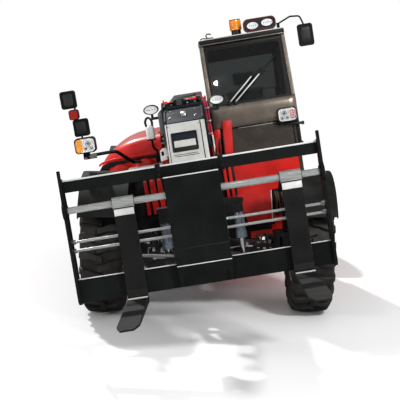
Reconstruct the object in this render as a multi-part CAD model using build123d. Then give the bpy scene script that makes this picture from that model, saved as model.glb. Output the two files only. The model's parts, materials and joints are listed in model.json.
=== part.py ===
from build123d import *
import math
import os

# Telehandler with frame levelling, forks and a three-stage boom.
# Millimetres and degrees. The front is -Y, the cab stands at +X, the ground is z = 0
# and the front axle is at y = 0. The frame and all it carries are drawn level, then
# rolled about the axle trunnions to the lean in which the machine stands.

# Stance
chassis_roll = 9.0
carriage_tilt_back = 3.0

# Axles and wheels
wheelbase = 3070.0
track_width = 2000.0
kingpin_spacing = 1580.0
tyre_diameter = 1250.0
tyre_width = 400.0
tread_thickness = 70.0
sidewall_thickness = 26.0
rim_diameter = 624.0
rim_width = 340.0
rim_wall = 12.0
rim_flange = 12.0
rim_flange_height = 20.0
hub_diameter = 256.0
spindle_diameter = 120.0
kingpin_diameter = 50.0
ear_spread = 120.0
ear_thickness = 40.0
knuckle_radius = 70.0
axle_tube_diameter = 150.0
differential_diameter = 330.0
trunnion_diameter = 120.0
steering_arm_length = 275.0
steering_arm_inset = 20.0
steering_arm_drop = 70.0
steering_barrel_half = 320.0
steering_rod_diameter = 36.0
mudguard_gap = 125.0
mudguard_wall = 8.0
mudguard_width = 460.0

# Chassis, drawn with the axle trunnions at this height
drawn_axle_z = 625.0
frame_inner_half = 210.0
saddle_clearance = 55.0
saddle_floor = 770.0
frame_plate = 25.0
frame_bottom = 480.0
frame_front = -260.0
rear_overhang = 830.0
frame_top_front = 1120.0
tower_top = 1990.0
notch_top = 800.0
notch_half = 165.0
trunnion_plate_at = 195.0
trunnion_plate = 36.0
counterweight_depth = 350.0
counterweight_half = 980.0

# Boom
boom_pivot_behind_axle = 380.0
boom_pivot_z = 1830.0
boom_pin_diameter = 90.0
boom_width = 380.0
boom_height = 450.0
boom_wall = 10.0
section_gap = 8.0
boom_front = -100.0
stage_step = 120.0
head_half = 175.0
head_plate = 25.0

# Carriage, measured from the foot of the fork shanks
carriage_y = -1889.0
carriage_z = 674.0
carriage_width = 2080.0
carriage_height = 1080.0
carriage_plate = 25.0
shaft_height = 760.0
shaft_diameter = 55.0
shaft_forward = 20.0
positioner_back = 40.0
positioner_heights = (500.0, 430.0)
positioner_diameter = 22.0
tilt_pin_back = 330.0
tilt_pin_height = 110.0
tilt_eye_back = 310.0
tilt_eye_height = 520.0
tilt_pin_diameter = 70.0
fork_length = 1200.0
fork_width = 160.0
fork_thickness = 50.0
fork_eye_width = 176.0
fork_right_at = -560.0
fork_left_at = 770.0

# Cylinders
lift_base_z = 860.0
lift_eye_back = 1600.0
lift_eye_drop = 340.0
lift_bore = 150.0
lift_rod_diameter = 90.0
lift_pin_diameter = 80.0
lift_eye_width = 120.0
lift_barrel_length = 1300.0
lift_bore_bottom = 75.0
lift_rod_inner_end = 160.0
tilt_base_y = -800.0
tilt_base_z = 1750.0
tilt_bore = 120.0
tilt_rod_diameter = 70.0
tilt_cylinder_pin_diameter = 60.0
tilt_eye_width = 90.0
tilt_barrel_length = 820.0
tilt_bore_bottom = 50.0
tilt_rod_inner_end = 116.0
levelling_spacing = 720.0
levelling_y = -190.0
levelling_top_z = 1010.0
levelling_foot_z = 560.0
levelling_bore = 96.0
levelling_rod_diameter = 52.0
levelling_pin_diameter = 36.0
levelling_eye_width = 44.0
levelling_barrel_length = 300.0
levelling_bore_bottom = 72.0
levelling_rod_length = 320.0

# Cab
cab_inner_x = 240.0
cab_outer_x = 1150.0
cab_front = 780.0
cab_rear = 2260.0
cab_floor = 950.0
cab_nose_bottom = 1350.0
cab_sill = 1900.0
cab_roof = 2590.0
cab_wall = 40.0
screen_lean = 250.0
roof_thickness = 60.0
pillar = 75.0
glass_thickness = 6.0
door_front = 960.0
door_rear = 2180.0
door_bottom = 985.0

# Engine bay
bay_inner_x = 262.0
bay_outer_x = 1130.0
bay_front = 780.0
bay_rear = 2280.0
bay_bottom = 560.0
bay_split = 1000.0
bay_wall = 8.0
hood_wall = 6.0
hood_peak = 1750.0
hood_seam = 1550.0
hood_nose_radius = 140.0
hood_hinge_x = -300.0
hood_hinge_z = 1780.0

# Fits
running_fit = 0.05
seat_gap = 0.3
pad_gap = 0.5
joint_gap = 5.0

axle_z = tyre_diameter / 2
mudguard_radius = tyre_diameter / 2 + mudguard_gap
frame_rear = wheelbase + rear_overhang
boom_pivot_y = wheelbase + boom_pivot_behind_axle
lift_base_y = boom_pivot_y
kingpin_x = kingpin_spacing / 2
hub_reach = track_width / 2 - kingpin_x
middle_width = boom_width - 2 * boom_wall - 2 * section_gap
middle_height = boom_height - 2 * boom_wall - 2 * section_gap
middle_wall = 8.0
inner_width = middle_width - 2 * middle_wall - 2 * section_gap
inner_height = middle_height - 2 * middle_wall - 2 * section_gap
frame_outer_half = frame_inner_half + frame_plate


# Basic shapes
def block(x0, x1, y0, y1, z0, z1):
    centre = Pos((x0 + x1) / 2, (y0 + y1) / 2, (z0 + z1) / 2)
    return centre * Box(x1 - x0, y1 - y0, z1 - z0)


def outline(points, corner=0.0):
    face = make_face(Polyline(*points, close=True))
    if corner > 0:
        face = fillet(face.vertices(), corner)
    return face


def plate_x(points, x0, x1, corner=0.0):
    """A plate with a (y, z) outline between two x planes."""
    return extrude(Plane.YZ.offset(x0) * outline(points, corner), amount=x1 - x0)


def plate_y(points, y0, y1, corner=0.0):
    """A plate with an (x, z) outline between two y planes."""
    return extrude(Plane.XZ.offset(-y1) * outline(points, corner), amount=y1 - y0)


def plate_z(points, z0, z1, corner=0.0):
    """A plate with an (x, y) outline between two z planes."""
    return extrude(Plane.XY.offset(z0) * outline(points, corner), amount=z1 - z0)


def bar(start, end, radius):
    """A round bar between two points."""
    start, end = Vector(*start), Vector(*end)
    base = Plane(origin=start, z_dir=end - start)
    from_start = (Align.CENTER, Align.CENTER, Align.MIN)
    return base * Cylinder(radius, (end - start).length, align=from_start)


def pin_x(x0, x1, y, z, radius):
    return bar((x0, y, z), (x1, y, z), radius)


def pin_y(y0, y1, x, z, radius):
    return bar((x, y0, z), (x, y1, z), radius)


def pin_z(z0, z1, x, y, radius):
    return bar((x, y, z0), (x, y, z1), radius)


def turned(points):
    """A solid turned about the X axis from an (x, radius) outline."""
    face = Plane.XZ * outline(points)
    return revolve(face, axis=Axis.X)


def bent_tube(points, bends, radius):
    path = FilletPolyline(*points, radius=bends)
    section = Plane(origin=path @ 0, z_dir=path % 0) * Circle(radius)
    return sweep(section, path=path)


def box_section(width, height, wall, y0, y1, z_mid):
    outer = block(-width / 2, width / 2, y0, y1, z_mid - height / 2, z_mid + height / 2)
    outer = fillet(outer.edges().filter_by(Axis.Y), wall * 2)
    hollow_w, hollow_h = width / 2 - wall, height / 2 - wall
    inner = block(-hollow_w, hollow_w, y0 - 1, y1 + 1, z_mid - hollow_h, z_mid + hollow_h)
    inner = fillet(inner.edges().filter_by(Axis.Y), wall)
    return outer - inner


# Placing
def rolled(shape):
    """Lean a level part with the frame, about the line through the trunnions."""
    lean = Pos(0, 0, axle_z) * Rot(0, -chassis_roll, 0) * Pos(0, 0, -drawn_axle_z)
    return lean * shape


def rolled_point(x, y, z):
    c, s = math.cos(math.radians(chassis_roll)), math.sin(math.radians(chassis_roll))
    rise = z - drawn_axle_z
    return (x * c - rise * s, y, axle_z + rise * c + x * s)


def on_carriage(shape):
    """Carriage drawings have the fork side at -Y and their foot at z = 0."""
    return Pos(0, carriage_y, carriage_z) * Rot(-carriage_tilt_back, 0, 0) * shape


def carriage_point(x, forward, height):
    c, s = math.cos(math.radians(carriage_tilt_back)), math.sin(math.radians(carriage_tilt_back))
    return (x, carriage_y - forward * c + height * s, carriage_z + height * c + forward * s)


# Wheels, drawn about the X axis with the outboard face at +X
def tyre():
    outer, half = tyre_diameter / 2, tyre_width / 2
    seat = rim_diameter / 2 + seat_gap
    bead = rim_width / 2 - rim_flange - seat_gap
    rise = seat + rim_flange_height
    shell = [(-bead, seat), (-bead, rise + 2), (-half + 12, seat + 66), (-half, outer - 190),
             (-half + 3, outer - 60), (-half + 26, outer - 22), (-half + 60, outer - 4), (0, outer),
             (half - 60, outer - 4), (half - 26, outer - 22), (half - 3, outer - 60), (half, outer - 190),
             (half - 12, seat + 66), (bead, rise + 2), (bead, seat)]
    side, roof = half - sidewall_thickness, outer - tread_thickness
    air = [(-side + 20, seat + 30), (-side, seat + 100), (-side + 10, roof - 30), (-side + 60, roof),
           (side - 60, roof), (side - 10, roof - 30), (side, seat + 100), (side - 20, seat + 30)]
    return turned(shell) - turned(air)


def rim():
    half, seat = rim_width / 2, rim_diameter / 2
    barrel = seat - rim_wall
    hub = hub_diameter / 2
    bore = spindle_diameter / 2 + running_fit
    lip, rise = half - rim_flange, seat + rim_flange_height
    profile = [(-half, rise), (-lip, rise), (-lip, seat), (lip, seat),
               (lip, rise), (half, rise), (half, barrel), (62, barrel), (45, 190), (45, hub),
               (130, hub - 10), (150, hub - 38), (150, 0), (62, 0), (62, bore), (-60, bore), (-60, hub - 16),
               (20, hub - 3), (20, 190), (30, barrel), (-half, barrel)]
    return turned(profile)


def wheel_place(side, axle_y):
    return Pos(side * track_width / 2, axle_y, axle_z)


# Axles
def knuckle():
    """Steering knuckle about its kingpin, outboard at +X, its arm towards -Y."""
    body = pin_z(-ear_spread + joint_gap, ear_spread - joint_gap, 0, 0, knuckle_radius)
    carrier = pin_x(30, hub_reach - 72, 0, 0, 104)
    spindle = pin_x(30, hub_reach + 58, 0, 0, spindle_diameter / 2)
    king = pin_z(-ear_spread - ear_thickness - 8, ear_spread + ear_thickness + 12, 0, 0, kingpin_diameter / 2)
    arm_tip = (-steering_arm_inset, -steering_arm_length)
    arm_sides = [(-2, -40), (42, -40), (arm_tip[0] + 24, arm_tip[1]), (arm_tip[0] - 24, arm_tip[1])]
    arm = plate_z(arm_sides, -steering_arm_drop - 15, -steering_arm_drop + 15)
    arm_eye = pin_z(-steering_arm_drop - 18, -steering_arm_drop + 18, *arm_tip, 34)
    return body + carrier + spindle + king + arm + arm_eye


def mudguard():
    """Wheel guard in the knuckle's frame, on a bracket from the kingpin's head."""
    inner, outer = mudguard_radius, mudguard_radius + mudguard_wall
    x0, x1 = -50.0, -50.0 + mudguard_width
    front, rear = math.radians(58), math.radians(50)

    def at(radius, angle):
        return (radius * math.sin(angle), radius * math.cos(angle))

    arc_out = ThreePointArc(at(outer, -front), at(outer, 0), at(outer, rear))
    arc_in = ThreePointArc(at(inner, -front), at(inner, 0), at(inner, rear))
    ends = [Line(at(outer, -front), at(inner, -front)), Line(at(outer, rear), at(inner, rear))]
    skin = make_face([arc_out, arc_in] + ends)
    guard = extrude(Plane.YZ.offset(x0) * skin, amount=x1 - x0)
    lip_in = inner - 34
    lip_arcs = [ThreePointArc(at(outer, -front), at(outer, 0), at(outer, rear)),
                ThreePointArc(at(lip_in, -front), at(lip_in, 0), at(lip_in, rear)),
                Line(at(outer, -front), at(lip_in, -front)), Line(at(outer, rear), at(lip_in, rear))]
    lip = extrude(Plane.YZ.offset(x1 - mudguard_wall) * make_face(lip_arcs), amount=mudguard_wall)
    foot = ear_spread + ear_thickness + 12 + seat_gap
    stem = block(-46, -26, -45, 45, foot, mudguard_radius + 2)
    shoe = pin_z(foot, foot + 16, 0, 0, 46)
    return guard + lip + stem + shoe


def axle_housing(front):
    """Housing about the origin: differential, tubes, kingpin ears and trunnions."""
    tube, bulb = axle_tube_diameter / 2, differential_diameter / 2
    spine_out = kingpin_x - knuckle_radius - 10
    half = [(0, 0), (0, bulb), (70, bulb - 4), (150, bulb - 50), (260, tube + 12), (spine_out - 25, tube - 4),
            (spine_out - 25, 0)]
    casting = turned(half)
    ear_z = ear_spread + ear_thickness
    spine = block(spine_out - 35, spine_out, -60, 60, -ear_z, ear_z)
    ear = block(spine_out - 5, kingpin_x, -60, 60, ear_spread, ear_z)
    ear += pin_z(ear_spread, ear_z, kingpin_x, 0, 60)
    ear -= pin_z(ear_spread - 1, ear_z + 1, kingpin_x, 0, kingpin_diameter / 2 + running_fit)
    side = casting + spine + ear + mirror(ear, about=Plane.XY)
    housing = side + mirror(side, about=Plane.YZ)
    reach = trunnion_plate_at + trunnion_plate / 2 + 12
    housing += pin_y(-reach, reach, 0, 0, trunnion_diameter / 2)
    housing += steering_cylinder()
    if front:
        for side_x in (-1, 1):
            housing += levelling_foot(side_x * levelling_spacing / 2)
    return housing


def steering_cylinder():
    """Double-ended steering cylinder on brackets ahead of the housing."""
    rod_z = steering_rod_z() - axle_z
    half = steering_barrel_half
    barrel = pin_x(-half, half, -steering_arm_length, rod_z, 40)
    for x in (-half + 30, half - 30):
        barrel += block(x - 13, x + 13, -steering_arm_length, -50, rod_z - 30, rod_z + 20)
    bore = steering_rod_diameter / 2 + running_fit
    return barrel - pin_x(-half - 1, half + 1, -steering_arm_length, rod_z, bore)


def steering_rod_z():
    return axle_z - steering_arm_drop + 18 + joint_gap + 20


def steering_rod():
    """Steering rod through its cylinder, with a link eye above each knuckle arm."""
    z, tip = steering_rod_z() - axle_z, kingpin_x - steering_arm_inset
    rod = pin_x(-tip, tip, -steering_arm_length, z, steering_rod_diameter / 2)
    for x in (-tip, tip):
        rod += pin_z(z - 20, z + 20, x, -steering_arm_length, 30)
    return rod


def levelling_foot(x):
    """Clevis on the front axle for the foot of one levelling cylinder."""
    drop = levelling_foot_z - drawn_axle_z
    ears = block(x - 42, x + 42, levelling_y - 46, levelling_y + 46, drop - 60, drop + 34)
    ears -= block(x - 50, x + 50, levelling_y - 28, levelling_y + 28, drop - 44, drop + 40)
    web = block(x - 42, x + 42, levelling_y + 30, -30, drop - 60, drop + 60)
    return ears + web


# Cylinders, drawn from the barrel's pin at the origin along +Z to the rod's eye
def barrel_of(bore, rod_diameter, pin_diameter, eye_width, length, bore_bottom):
    outer = bore / 2 + 14
    neck = bore_bottom - 12
    tube = pin_z(neck, length, 0, 0, outer)
    gland = pin_z(length - 60, length, 0, 0, outer + 6)
    eye = pin_x(-eye_width / 2, eye_width / 2, 0, 0, pin_diameter * 0.95)
    eye += pin_z(0, neck + 1, 0, 0, eye_width / 2 - 2)
    body = tube + gland + eye
    body -= pin_z(bore_bottom, length + 1, 0, 0, rod_diameter / 2 + running_fit)
    return body - pin_x(-eye_width, eye_width, 0, 0, pin_diameter / 2 + running_fit)


def rod_of(rod_diameter, pin_diameter, eye_width, pin_length, reach, stroke_length):
    rod = pin_z(reach - stroke_length, reach, 0, 0, rod_diameter / 2)
    eye = pin_x(-eye_width / 2, eye_width / 2, 0, reach, pin_diameter * 0.95)
    stub = pin_x(-pin_length / 2, pin_length / 2, 0, reach, pin_diameter / 2)
    return rod + eye + stub


def aimed(shape, start, end, pin_axis):
    start, end = Vector(*start), Vector(*end)
    return Plane(origin=start, x_dir=Vector(*pin_axis), z_dir=end - start) * shape


def distance(a, b):
    return (Vector(*a) - Vector(*b)).length


def lift_points():
    return (0, lift_base_y, lift_base_z), (0, boom_pivot_y - lift_eye_back, boom_pivot_z - lift_eye_drop)


def tilt_points():
    return (0, tilt_base_y, tilt_base_z), carriage_point(0, -tilt_eye_back, tilt_eye_height)


def levelling_points(side):
    top = rolled_point(side * levelling_spacing / 2, levelling_y, levelling_top_z)
    return top, (side * levelling_spacing / 2, levelling_y, levelling_foot_z - drawn_axle_z + axle_z)


def lift_cylinder():
    base, eye = lift_points()
    reach = distance(base, eye)
    pin = lift_pin_diameter
    width = lift_eye_width
    barrel = barrel_of(lift_bore, lift_rod_diameter, pin, width, lift_barrel_length, lift_bore_bottom)
    rod = rod_of(lift_rod_diameter, pin, width, width + 14, reach, reach - lift_rod_inner_end)
    return aimed(barrel, base, eye, (1, 0, 0)), aimed(rod, base, eye, (1, 0, 0))


def tilt_cylinder():
    base, eye = tilt_points()
    reach = distance(base, eye)
    pin = tilt_cylinder_pin_diameter
    width = tilt_eye_width
    barrel = barrel_of(tilt_bore, tilt_rod_diameter, pin, width, tilt_barrel_length, tilt_bore_bottom)
    rod = rod_of(tilt_rod_diameter, pin, width, width + 14, reach, reach - tilt_rod_inner_end)
    return aimed(barrel, base, eye, (1, 0, 0)), aimed(rod, base, eye, (1, 0, 0))


def levelling_cylinder(side):
    top, foot = levelling_points(side)
    reach = distance(top, foot)
    pin, eye = levelling_pin_diameter, levelling_eye_width
    barrel = barrel_of(levelling_bore - 28, levelling_rod_diameter, pin, eye, levelling_barrel_length,
                       levelling_bore_bottom)
    rod = rod_of(levelling_rod_diameter, pin, eye, eye + 8, reach, levelling_rod_length)
    return aimed(barrel, top, foot, (0, 1, 0)), aimed(rod, top, foot, (0, 1, 0))


# Chassis
def frame_side():
    """One side plate with its axle notches and the tower that carries the boom."""
    b, t = frame_bottom, frame_top_front
    n, half = notch_top, notch_half
    y_tower = boom_pivot_y
    notch_end = wheelbase + steering_arm_length + 85
    edge = [(frame_front, n - 30), (frame_front, t - 60), (frame_front + 90, t),
            (y_tower - 1750, t + 40), (y_tower - 1000, t + 190), (y_tower - 330, tower_top - 160),
            (y_tower - 210, tower_top), (y_tower + 190, tower_top), (y_tower + 330, boom_pivot_z - 120),
            (frame_rear, 1300), (frame_rear, b + 60), (frame_rear - 90, b),
            (notch_end + 60, b), (notch_end, b + 60), (notch_end, n - 80),
            (notch_end - 50, n - 30), (wheelbase + half, n),
            (wheelbase - half + 50, n), (wheelbase - half, n - 50),
            (wheelbase - half, b + 60), (wheelbase - half - 60, b), (half + 60, b), (half, b + 60),
            (half, n - 50), (half - 50, n), (-half, n)]
    plate = plate_x(edge, frame_inner_half, frame_outer_half)
    boss = pin_x(frame_inner_half - 14, frame_outer_half + 18, boom_pivot_y, boom_pivot_z, 95)
    lift_boss = pin_x(frame_inner_half - 14, frame_outer_half + 10, lift_base_y, lift_base_z, 75)
    return plate + boss + lift_boss


def trunnion_plate_between(y, top):
    """Cross plate with the bore that carries one of an axle's trunnions."""
    half, w = trunnion_plate / 2, frame_inner_half
    edge = [(-w, 700), (-w, top), (w, top), (w, 700), (120, frame_bottom), (-120, frame_bottom)]
    plate = plate_y(edge, y - half, y + half) + pin_y(y - half - 6, y + half + 6, 0, drawn_axle_z, 95)
    return plate - pin_y(y - half - 7, y + half + 7, 0, drawn_axle_z, trunnion_diameter / 2 + running_fit)


def levelling_beam():
    """Nose beam above the front axle with a clevis for each levelling cylinder."""
    half = levelling_spacing / 2
    floor = levelling_top_z + 50
    beam = block(-half - 60, half + 60, levelling_y - 60, levelling_y + 60, floor, floor + 50)
    for x in (-half, half):
        ears = block(x - 48, x + 48, levelling_y - 46, levelling_y + 46, levelling_top_z - 46, floor)
        ears -= block(x - 60, x + 60, levelling_y - 28, levelling_y + 28, levelling_top_z - 50, floor - 0.5)
        beam += ears + pin_y(levelling_y - 52, levelling_y + 52, x, levelling_top_z, 18)
    return beam


def chassis_frame():
    frame = frame_side()
    frame += mirror(frame, about=Plane.YZ)
    ahead, behind = wheelbase - trunnion_plate_at, wheelbase + trunnion_plate_at
    for y, top in ((-trunnion_plate_at, 1000), (trunnion_plate_at, 1000), (ahead, 870), (behind, 1000)):
        frame += trunnion_plate_between(y, top)
    w = frame_inner_half
    half = lift_bore / 2 + saddle_clearance
    frame -= block(-half, half, behind - trunnion_plate, behind + trunnion_plate, saddle_floor, 1010)
    frame += block(-w, w, 420, 445, frame_bottom, 1080)
    frame += block(-w, w, 1200, 1225, frame_bottom, 1060)
    frame += block(-w, w, 445, wheelbase - notch_half - 90, frame_bottom, frame_bottom + 12)
    frame += block(-w, w, frame_rear - 30, frame_rear, frame_bottom + 70, 1280)
    frame += levelling_beam()
    frame += pin_x(-w - 12, w + 12, boom_pivot_y, boom_pivot_z, boom_pin_diameter / 2)
    frame += pin_x(-w - 12, w + 12, lift_base_y, lift_base_z, lift_pin_diameter / 2)
    return frame


def counterweight():
    """Rear casting across the frame's tail, rounded at its corners."""
    half, y0, y1 = counterweight_half, frame_rear + seat_gap, frame_rear + counterweight_depth
    plan = [(-half, y0), (-half, y1 - 140), (-half + 160, y1), (half - 160, y1), (half, y1 - 140), (half, y0)]
    casting = plate_z(plan, 590, 1180)
    casting = fillet(casting.edges().group_by(Axis.Z)[-1], 40)
    cut = block(-170, 170, y1 - 60, y1 + 1, 589, 760)
    return casting - cut


def tow_hitch():
    """Rear drawbar jaw with its pin bore, in the counterweight's recess."""
    y0 = frame_rear + counterweight_depth - 60 + seat_gap
    back = block(-90, 90, y0, y0 + 24, 600, 750)
    jaws = block(-60, 60, y0 + 10, y0 + 120, 620, 645) + block(-60, 60, y0 + 10, y0 + 120, 700, 725)
    jaws += pin_z(620, 645, 0, y0 + 120, 60) + pin_z(700, 725, 0, y0 + 120, 60)
    return back + jaws - pin_z(600, 740, 0, y0 + 120, 16.5)


def engine_block():
    floor = bay_bottom + bay_wall + seat_gap
    return block(-960, -bay_inner_x - 26 - seat_gap, 1000, 1900, floor, 1380)


def engine_bay():
    """Fixed tray and bulkheads beside the frame, with the hood's hinge lugs."""
    x_in, x_out = -bay_inner_x, -bay_outer_x
    tray = block(x_out, -frame_outer_half, bay_front, bay_rear, bay_bottom, bay_bottom + bay_wall)
    skirt = block(x_out, x_out + bay_wall, bay_front, bay_rear, bay_bottom, bay_split - joint_gap)
    nose = plate_y(bulkhead_outline(), bay_front, bay_front + bay_wall)
    tail = plate_y(bulkhead_outline(), bay_rear - bay_wall, bay_rear)
    wall = block(x_in - 26, x_in - 18, bay_front, bay_rear, bay_bottom, hood_hinge_z - 30)
    bay = tray + skirt + nose + tail + wall
    for y in hinge_places():
        for y0 in (y - 70, y + 46):
            z0, z1 = hood_hinge_z - 60, hood_hinge_z + 14
            bay += block(hood_hinge_x - 12, hood_hinge_x + 14, y0, y0 + 24, z0, z1)
        bay += pin_y(y - 50, y + 50, hood_hinge_x, hood_hinge_z, 8)
    return bay


def bulkhead_outline():
    """Front and rear walls of the bay, inside the hood's skin and below its nose."""
    seam = hood_seam - joint_gap
    return [(-frame_outer_half, bay_bottom), (-frame_outer_half, 1100), (-bay_inner_x - 20, 1400),
            (-bay_inner_x - 20, seam), (-880, seam), (-1020, 1390), (-bay_outer_x + 30, 1190),
            (-bay_outer_x + 30, bay_split), (-bay_outer_x, bay_split - joint_gap), (-bay_outer_x, bay_bottom)]


def hinge_places():
    return (bay_front + 260, bay_rear - 260)


def hood_form(inset):
    """The hood's rounded form; an inset gives the hollow under its skin."""
    top, outer, low = hood_peak - inset, -bay_outer_x + inset, bay_split - 2 * inset
    inner = hood_hinge_x - 16 - inset
    edge = [(inner, top), (-660, top - 20), (-880, top - 115), (-1040 + inset / 2, top - 310),
            (outer, bay_split + 200), (outer, low), (inner, low)]
    y0, y1 = bay_front + inset, bay_rear - inset
    form = plate_y(edge, y0, y1)
    nose = form.faces().sort_by(Axis.Y)[0].edges()
    ridge = [e for e in nose if e.center().Z > bay_split + 220 and e.center().X < inner - 1]
    return fillet(ridge, hood_nose_radius - inset)


def engine_hood():
    """Rounded cover over the engine, open below and towards the frame."""
    shell = hood_form(0) - hood_form(hood_wall)
    shell -= block(hood_hinge_x - 30, hood_hinge_x, bay_front - 1, bay_rear + 1, 0, hood_peak - 40)
    wall_room = bay_wall + joint_gap
    for y0, y1 in ((bay_front - 1, bay_front + wall_room), (bay_rear - wall_room, bay_rear + 1)):
        shell -= block(-bay_outer_x + 20, 0, y0, y1, 0, hood_seam)
    for y in hinge_places():
        sleeve = pin_y(y - 40, y + 40, hood_hinge_x, hood_hinge_z, 15)
        sleeve += block(hood_hinge_x - 40, hood_hinge_x - 2, y - 40, y + 40, hood_peak - 6, hood_hinge_z - 3)
        shell += sleeve
        shell -= pin_y(y - 41, y + 41, hood_hinge_x, hood_hinge_z, 8 + running_fit)
    return shell


def cab_base():
    """Red panel, tank and step box under the cab."""
    face = [(300, cab_nose_bottom), (1090, cab_nose_bottom), (1090, 1010), (745, 985), (715, 600), (470, 640),
            (372, 1040), (300, 1100)]
    front = plate_y(face, cab_front + 10, cab_front + 210)
    lip = block(470, 700, cab_front + 10, cab_front + 210, 500, 575) + block(500, 660, 900, 980, 570, 640)
    tank_inner = frame_outer_half + seat_gap
    tank = block(tank_inner, 1110, cab_front + 210, cab_rear - 20, 520, cab_floor - joint_gap)
    tank = fillet(tank.edges().filter_by(Axis.Y).sort_by(Axis.X)[-2:], 60)
    step = block(930, 1200, 1180, 1760, 500, 760)
    return front + lip + tank - step


# Cab
def cab_profile(inset):
    front, rear, top = cab_front + inset, cab_rear - inset, cab_roof - inset
    toe = front + 215
    return [(front, cab_nose_bottom + inset), (front, cab_sill), (front + screen_lean, top),
            (rear - 110, top), (rear, cab_sill + 100), (rear, cab_floor + inset),
            (toe, cab_floor + inset), (toe, cab_nose_bottom + inset)]


def screen_plane_y(z):
    return cab_front + screen_lean * (z - cab_sill) / (cab_roof - cab_sill)


def cab_shell():
    """Hollow cab with its pillars, sills and back, its windows and doorway cut."""
    outer = plate_x(cab_profile(0), cab_inner_x, cab_outer_x)
    inner = plate_x(cab_profile(cab_wall), cab_inner_x + cab_wall, cab_outer_x - cab_wall)
    shell = outer - inner
    x0, x1 = cab_inner_x + pillar, cab_outer_x - pillar
    shell -= plate_x(screen_opening(), x0 - 35, x1 + 35)
    shell -= block(x0, x1, cab_rear - 120, cab_rear + 10, 1700, cab_roof - 110)
    shell -= plate_x(inner_window(0), cab_inner_x - 10, cab_inner_x + cab_wall + 10)
    shell -= plate_x(door_outline(-joint_gap), cab_outer_x - cab_wall - 10, cab_outer_x + 10)
    return shell


def screen_opening():
    low, high = cab_sill + 40, cab_roof - 50
    y_low, y_high = screen_plane_y(low), screen_plane_y(high)
    return [(y_low - 60, low), (y_high - 60, high), (y_high + 60, high), (y_low + 60, low)]


def inner_window(inset):
    """Edge of the window beside the boom; an inset gives its pane."""
    low, high = 1760 + inset, cab_roof - 110 - inset
    return [(cab_front + 120 + 2 * inset, low), (screen_plane_y(high) + 110 + 2 * inset, high),
            (cab_rear - 210 - 2 * inset, high), (cab_rear - 120 - 2 * inset, low)]


def door_outline(inset):
    """Door edge in the side view; a negative inset gives its opening."""
    z_low, z_high = door_bottom + inset, cab_roof - 60 - inset
    toe, front = door_front + 40 + inset, cab_front + 90 + inset
    front_high = screen_plane_y(z_high) + 95 + inset
    rear = door_rear - inset
    return [(toe, z_low), (toe, 1290), (front, 1420), (front, cab_sill), (front_high, z_high),
            (rear - 60, z_high), (rear, z_high - 160), (rear, z_low)]


def door_window(inset):
    low, high = 1500 + inset, cab_roof - 140 - inset
    front, rear = cab_front + 170 + inset, door_rear - 90 - inset
    front_high = screen_plane_y(high) + 165 + inset
    return [(front, low), (front, cab_sill), (front_high, high),
            (rear - 50, high), (rear, high - 80), (rear, low)]


def cab_door():
    """Whole door as thick as the cab's side, with its window cut and hinge sleeves."""
    door = plate_x(door_outline(0), cab_outer_x - cab_wall, cab_outer_x)
    door -= plate_x(door_window(0), cab_outer_x - cab_wall - 1, cab_outer_x + 1)
    for z in door_hinge_heights():
        door += pin_z(z - 45, z + 45, cab_outer_x + 14, door_rear + 2, 14)
        door += block(cab_outer_x - 6, cab_outer_x + 14, door_rear - 40, door_rear + 2, z - 45, z + 45)
        door -= pin_z(z - 46, z + 46, cab_outer_x + 14, door_rear + 2, 7 + running_fit)
    return door


def door_hinge_heights():
    return (1250.0, 2150.0)


def door_hinges():
    """Hinge pins and their lugs on the cab's rear pillar."""
    lugs = []
    for z in door_hinge_heights():
        lug = pin_z(z - 66, z + 66, cab_outer_x + 14, door_rear + 2, 7)
        for low in (z - 70, z + 50):
            lug += pin_z(low, low + 20, cab_outer_x + 14, door_rear + 2, 14)
            lug += block(cab_outer_x - 6, cab_outer_x + 14, door_rear + 10, door_rear + 50, low, low + 20)
        lugs.append(lug)
    return lugs


def door_glass():
    mid = cab_outer_x - cab_wall / 2
    return plate_x(door_window(seat_gap), mid - glass_thickness / 2, mid + glass_thickness / 2)


def cab_glazing():
    """Windscreen, inner side window and rear window as separate panes."""
    low, high = cab_sill + 40 + seat_gap, cab_roof - 50 - seat_gap
    x0, x1 = cab_inner_x + pillar - 35 + seat_gap, cab_outer_x - pillar + 35 - seat_gap
    y_low, y_high = screen_plane_y(low) + 8, screen_plane_y(high) + 8
    screen = plate_x([(y_low, low), (y_high, high), (y_high + 7, high), (y_low + 7, low)], x0, x1)
    mid = cab_inner_x + cab_wall / 2
    side = plate_x(inner_window(seat_gap), mid - glass_thickness / 2, mid + glass_thickness / 2)
    return [screen, side, rear_pane()]


def rear_pane():
    """Rear window, leaning as the cab's back does above its waist."""
    x0, x1 = cab_inner_x + pillar + seat_gap, cab_outer_x - pillar - seat_gap
    waist, slope = cab_sill + 100, 110 / (cab_roof - cab_sill - 100)
    low, high = 1700 + seat_gap, cab_roof - 110 - seat_gap
    y_low, y_high = cab_rear - 20, cab_rear - 20 - slope * (high - waist)
    edge = [(y_low, low), (y_low, waist), (y_high, high),
            (y_high - 7, high), (y_low - 7, waist), (y_low - 7, low)]
    return plate_x(edge, x0, x1)


def cab_roof_panel():
    front, top = cab_front + screen_lean - 40, cab_roof + roof_thickness
    panel = block(cab_inner_x - 6, cab_outer_x + 2, front, cab_rear - 90, cab_roof, top)
    return fillet(panel.edges().filter_by(Axis.Z) + panel.edges().group_by(Axis.Z)[-1], 24)


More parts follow.
